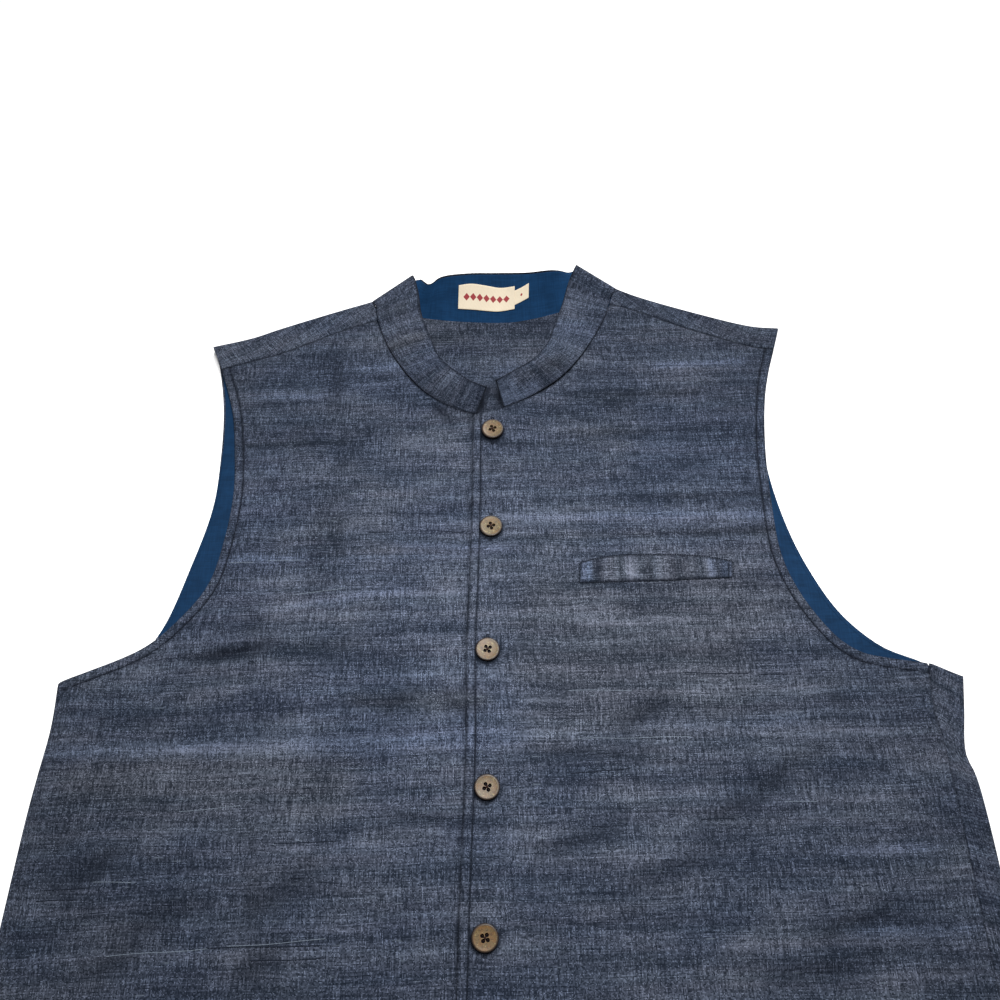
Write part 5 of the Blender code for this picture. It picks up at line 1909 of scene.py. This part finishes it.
class JACKET_OT_sewing(bpy.types.Operator):
    """Build the stitched lines of the placket, the armholes and the hem, and the buttonholes"""

    bl_idname = "jacket.sewing"
    bl_label = "Stitches and buttonholes"

    def execute(self, context):
        placket = through(PLACKET_EDGE, SEWN_CELLS)
        arm_right = through(ARMHOLE_RIGHT_FRONT, SEWN_CELLS)
        arm_left = through(ARMHOLE_LEFT_FRONT, SEWN_CELLS)
        hem = through(HEM, CURVE_CELLS)
        lap = PLACKET_EDGE[0][0]
        hem_right = shifted(hem[hem[:, 0] < lap - 1], -HEM_STITCH)
        hem_left = shifted(hem[(hem[:, 0] > lap + 4) & (hem[:, 0] < HEM_STITCH_END)], -HEM_STITCH)
        thread = finish_named("navy_thread")
        lift = SHELL_WALL / 2 + SEWN_LIFT
        # Each line: the front that it is sewn on, its edge, how far inside, and how short of both ends
        for name, lines in (
            ("placket_stitches", [("left", placket, PLACKET_STITCH, 3, 4)]),
            ("armhole_stitches", [
                ("right", arm_right, ARMHOLE_STITCH, 10, 6),
                ("left", arm_left, -ARMHOLE_STITCH, 6, 2),
            ]),
            ("hem_stitches", [("right", hem_right, 0, 4, 1), ("left", hem_left, 0, 1, 2)]),
        ):
            stitches = []
            for which, *line in lines:
                stitches += stitches_on(line_inside(*line), height_of(which), lift)
            declare(thread_piece(name, stitches, THREAD_RADIUS, thread))
        holes = []
        for button in range(len(BUTTON_PLACES)):
            holes += buttonhole_stitches(button)
        declare(thread_piece("buttonholes", holes, BUTTONHOLE_THREAD_RADIUS, thread))
        return {"FINISHED"}


class JACKET_OT_buttons(bpy.types.Operator):
    """Build the buttons and the thread that holds them"""

    bl_idname = "jacket.buttons"
    bl_label = "Buttons"

    def execute(self, context):
        finish = finish_named("coconut_shell")
        blank = drilled_blank()
        threads = []
        for place, (degrees, tone) in enumerate(zip(BUTTON_TURNS, BUTTON_TONES)):
            x, y, z = button_place(place)
            mesh = blank.copy()
            radius = np.hypot(*points_of(mesh)[:, :2].T)
            # share of the darker rim, which is partly painted shade
            give_points(mesh, "rim_share", smooth_step((radius - RIM_START) / RIM_FADE))
            give_points(mesh, "shell_tone", np.full(len(radius), tone))
            turn = Matrix.Rotation(math.radians(degrees), 4, "Z")
            mesh.transform(Matrix.Translation((x * MM, y * MM, z * MM)) @ turn)
            mesh.set_sharp_from_angle(angle=math.radians(BUTTON_SHARP_ANGLE))
            button = new_object(f"coconut_button_{place + 1}", mesh, finish)
            declare(button, f"button_{place + 1}")
            threads += cross_stitches(place)
        strands = finish_named("brown_thread")
        declare(thread_piece("button_threads", threads, BUTTON_THREAD_RADIUS, strands))
        return {"FINISHED"}


def far_light(name, comes_from, strength, angle):
    """A soft light from far away, which falls alike on every place."""
    data = bpy.data.lights.new(name, "SUN")
    data.energy = strength
    data.angle = angle
    new_object(name, data).rotation_euler = Vector(comes_from).to_track_quat("Z", "Y").to_euler()


def near_light(name, place, size, power, spread):
    """A round soft light that points straight down and pools below itself."""
    data = bpy.data.lights.new(name, "AREA")
    data.shape = "DISK"
    data.size = size
    data.energy = power
    data.spread = spread
    light = new_object(name, data)
    light.location = place
    light.visible_camera = False


class JACKET_OT_stage(bpy.types.Operator):
    """Build the floor, the soft lights and the camera"""

    bl_idname = "jacket.stage"
    bl_label = "Stage"

    def execute(self, context):
        stage = context.scene.jacket_stage
        bm = bmesh.new()
        bmesh.ops.create_circle(bm, cap_ends=True, segments=FLOOR_SIDES, radius=stage.floor_radius)
        bmesh.ops.translate(bm, verts=bm.verts, vec=(0, 0, -FLOOR_DROP * MM))
        paper = studio_floor("matt_paper", stage.floor_colour)
        new_object("studio_floor", mesh_from(bm, "studio_floor"), paper)
        far_light("key_light", stage.key_from, stage.key_strength, stage.key_angle)
        pool = (stage.pool_place, stage.pool_size, stage.pool_power, stage.pool_spread)
        near_light("pool_light", *pool)
        world = bpy.data.worlds.new("studio_surround")
        world.use_nodes = True
        surround = world.node_tree.nodes["Background"].inputs
        surround["Color"].default_value = (1.0, 1.0, 1.0, 1.0)
        surround["Strength"].default_value = stage.sky
        context.scene.world = world
        lens = bpy.data.cameras.new("camera")
        lens.sensor_width = CAMERA_SENSOR
        lens.lens = CAMERA_LENS
        lens.shift_x, lens.shift_y = CAMERA_SHIFT
        lens.clip_start, lens.clip_end = CAMERA_CLIP
        camera = new_object("camera", lens)
        camera.location = CAMERA_PLACE
        camera.rotation_euler = (math.radians(CAMERA_TILT), 0.0, 0.0)
        context.scene.camera = camera
        context.scene.view_settings.view_transform = "Standard"
        return {"FINISHED"}


class JACKET_PT_panel(bpy.types.Panel):
    """Sizes, colours and the steps that build the jacket"""

    bl_label = "Band-collar jacket"
    bl_idname = "JACKET_PT_panel"
    bl_space_type = "VIEW_3D"
    bl_region_type = "UI"
    bl_category = "Jacket"

    def draw(self, context):
        layout = self.layout
        for settings in (context.scene.jacket_finish, context.scene.jacket_stage):
            box = layout.box()
            for name in settings.__annotations__:
                box.prop(settings, name)
        for step in STEPS:
            layout.operator(step.bl_idname)


STEPS = (
    JACKET_OT_stage,
    JACKET_OT_back,
    JACKET_OT_fronts,
    JACKET_OT_collar,
    JACKET_OT_welt,
    JACKET_OT_sewing,
    JACKET_OT_buttons,
)
CLASSES = (JacketFinish, JacketStage, *STEPS, JACKET_PT_panel)


def register():
    """Makes the settings, the steps and the panel known to Blender."""
    for cls in CLASSES:
        bpy.utils.register_class(cls)
    bpy.types.Scene.jacket_finish = bpy.props.PointerProperty(type=JacketFinish)
    bpy.types.Scene.jacket_stage = bpy.props.PointerProperty(type=JacketStage)


def unregister():
    """Takes back what register made known."""
    del bpy.types.Scene.jacket_stage
    del bpy.types.Scene.jacket_finish
    for cls in reversed(CLASSES):
        bpy.utils.unregister_class(cls)


def main():
    """Builds the stage and every piece in order."""
    register()
    bpy.ops.jacket.stage()
    bpy.ops.jacket.back()
    bpy.ops.jacket.fronts()
    bpy.ops.jacket.collar()
    bpy.ops.jacket.welt()
    bpy.ops.jacket.sewing()
    bpy.ops.jacket.buttons()


if __name__ == "__main__":
    main()
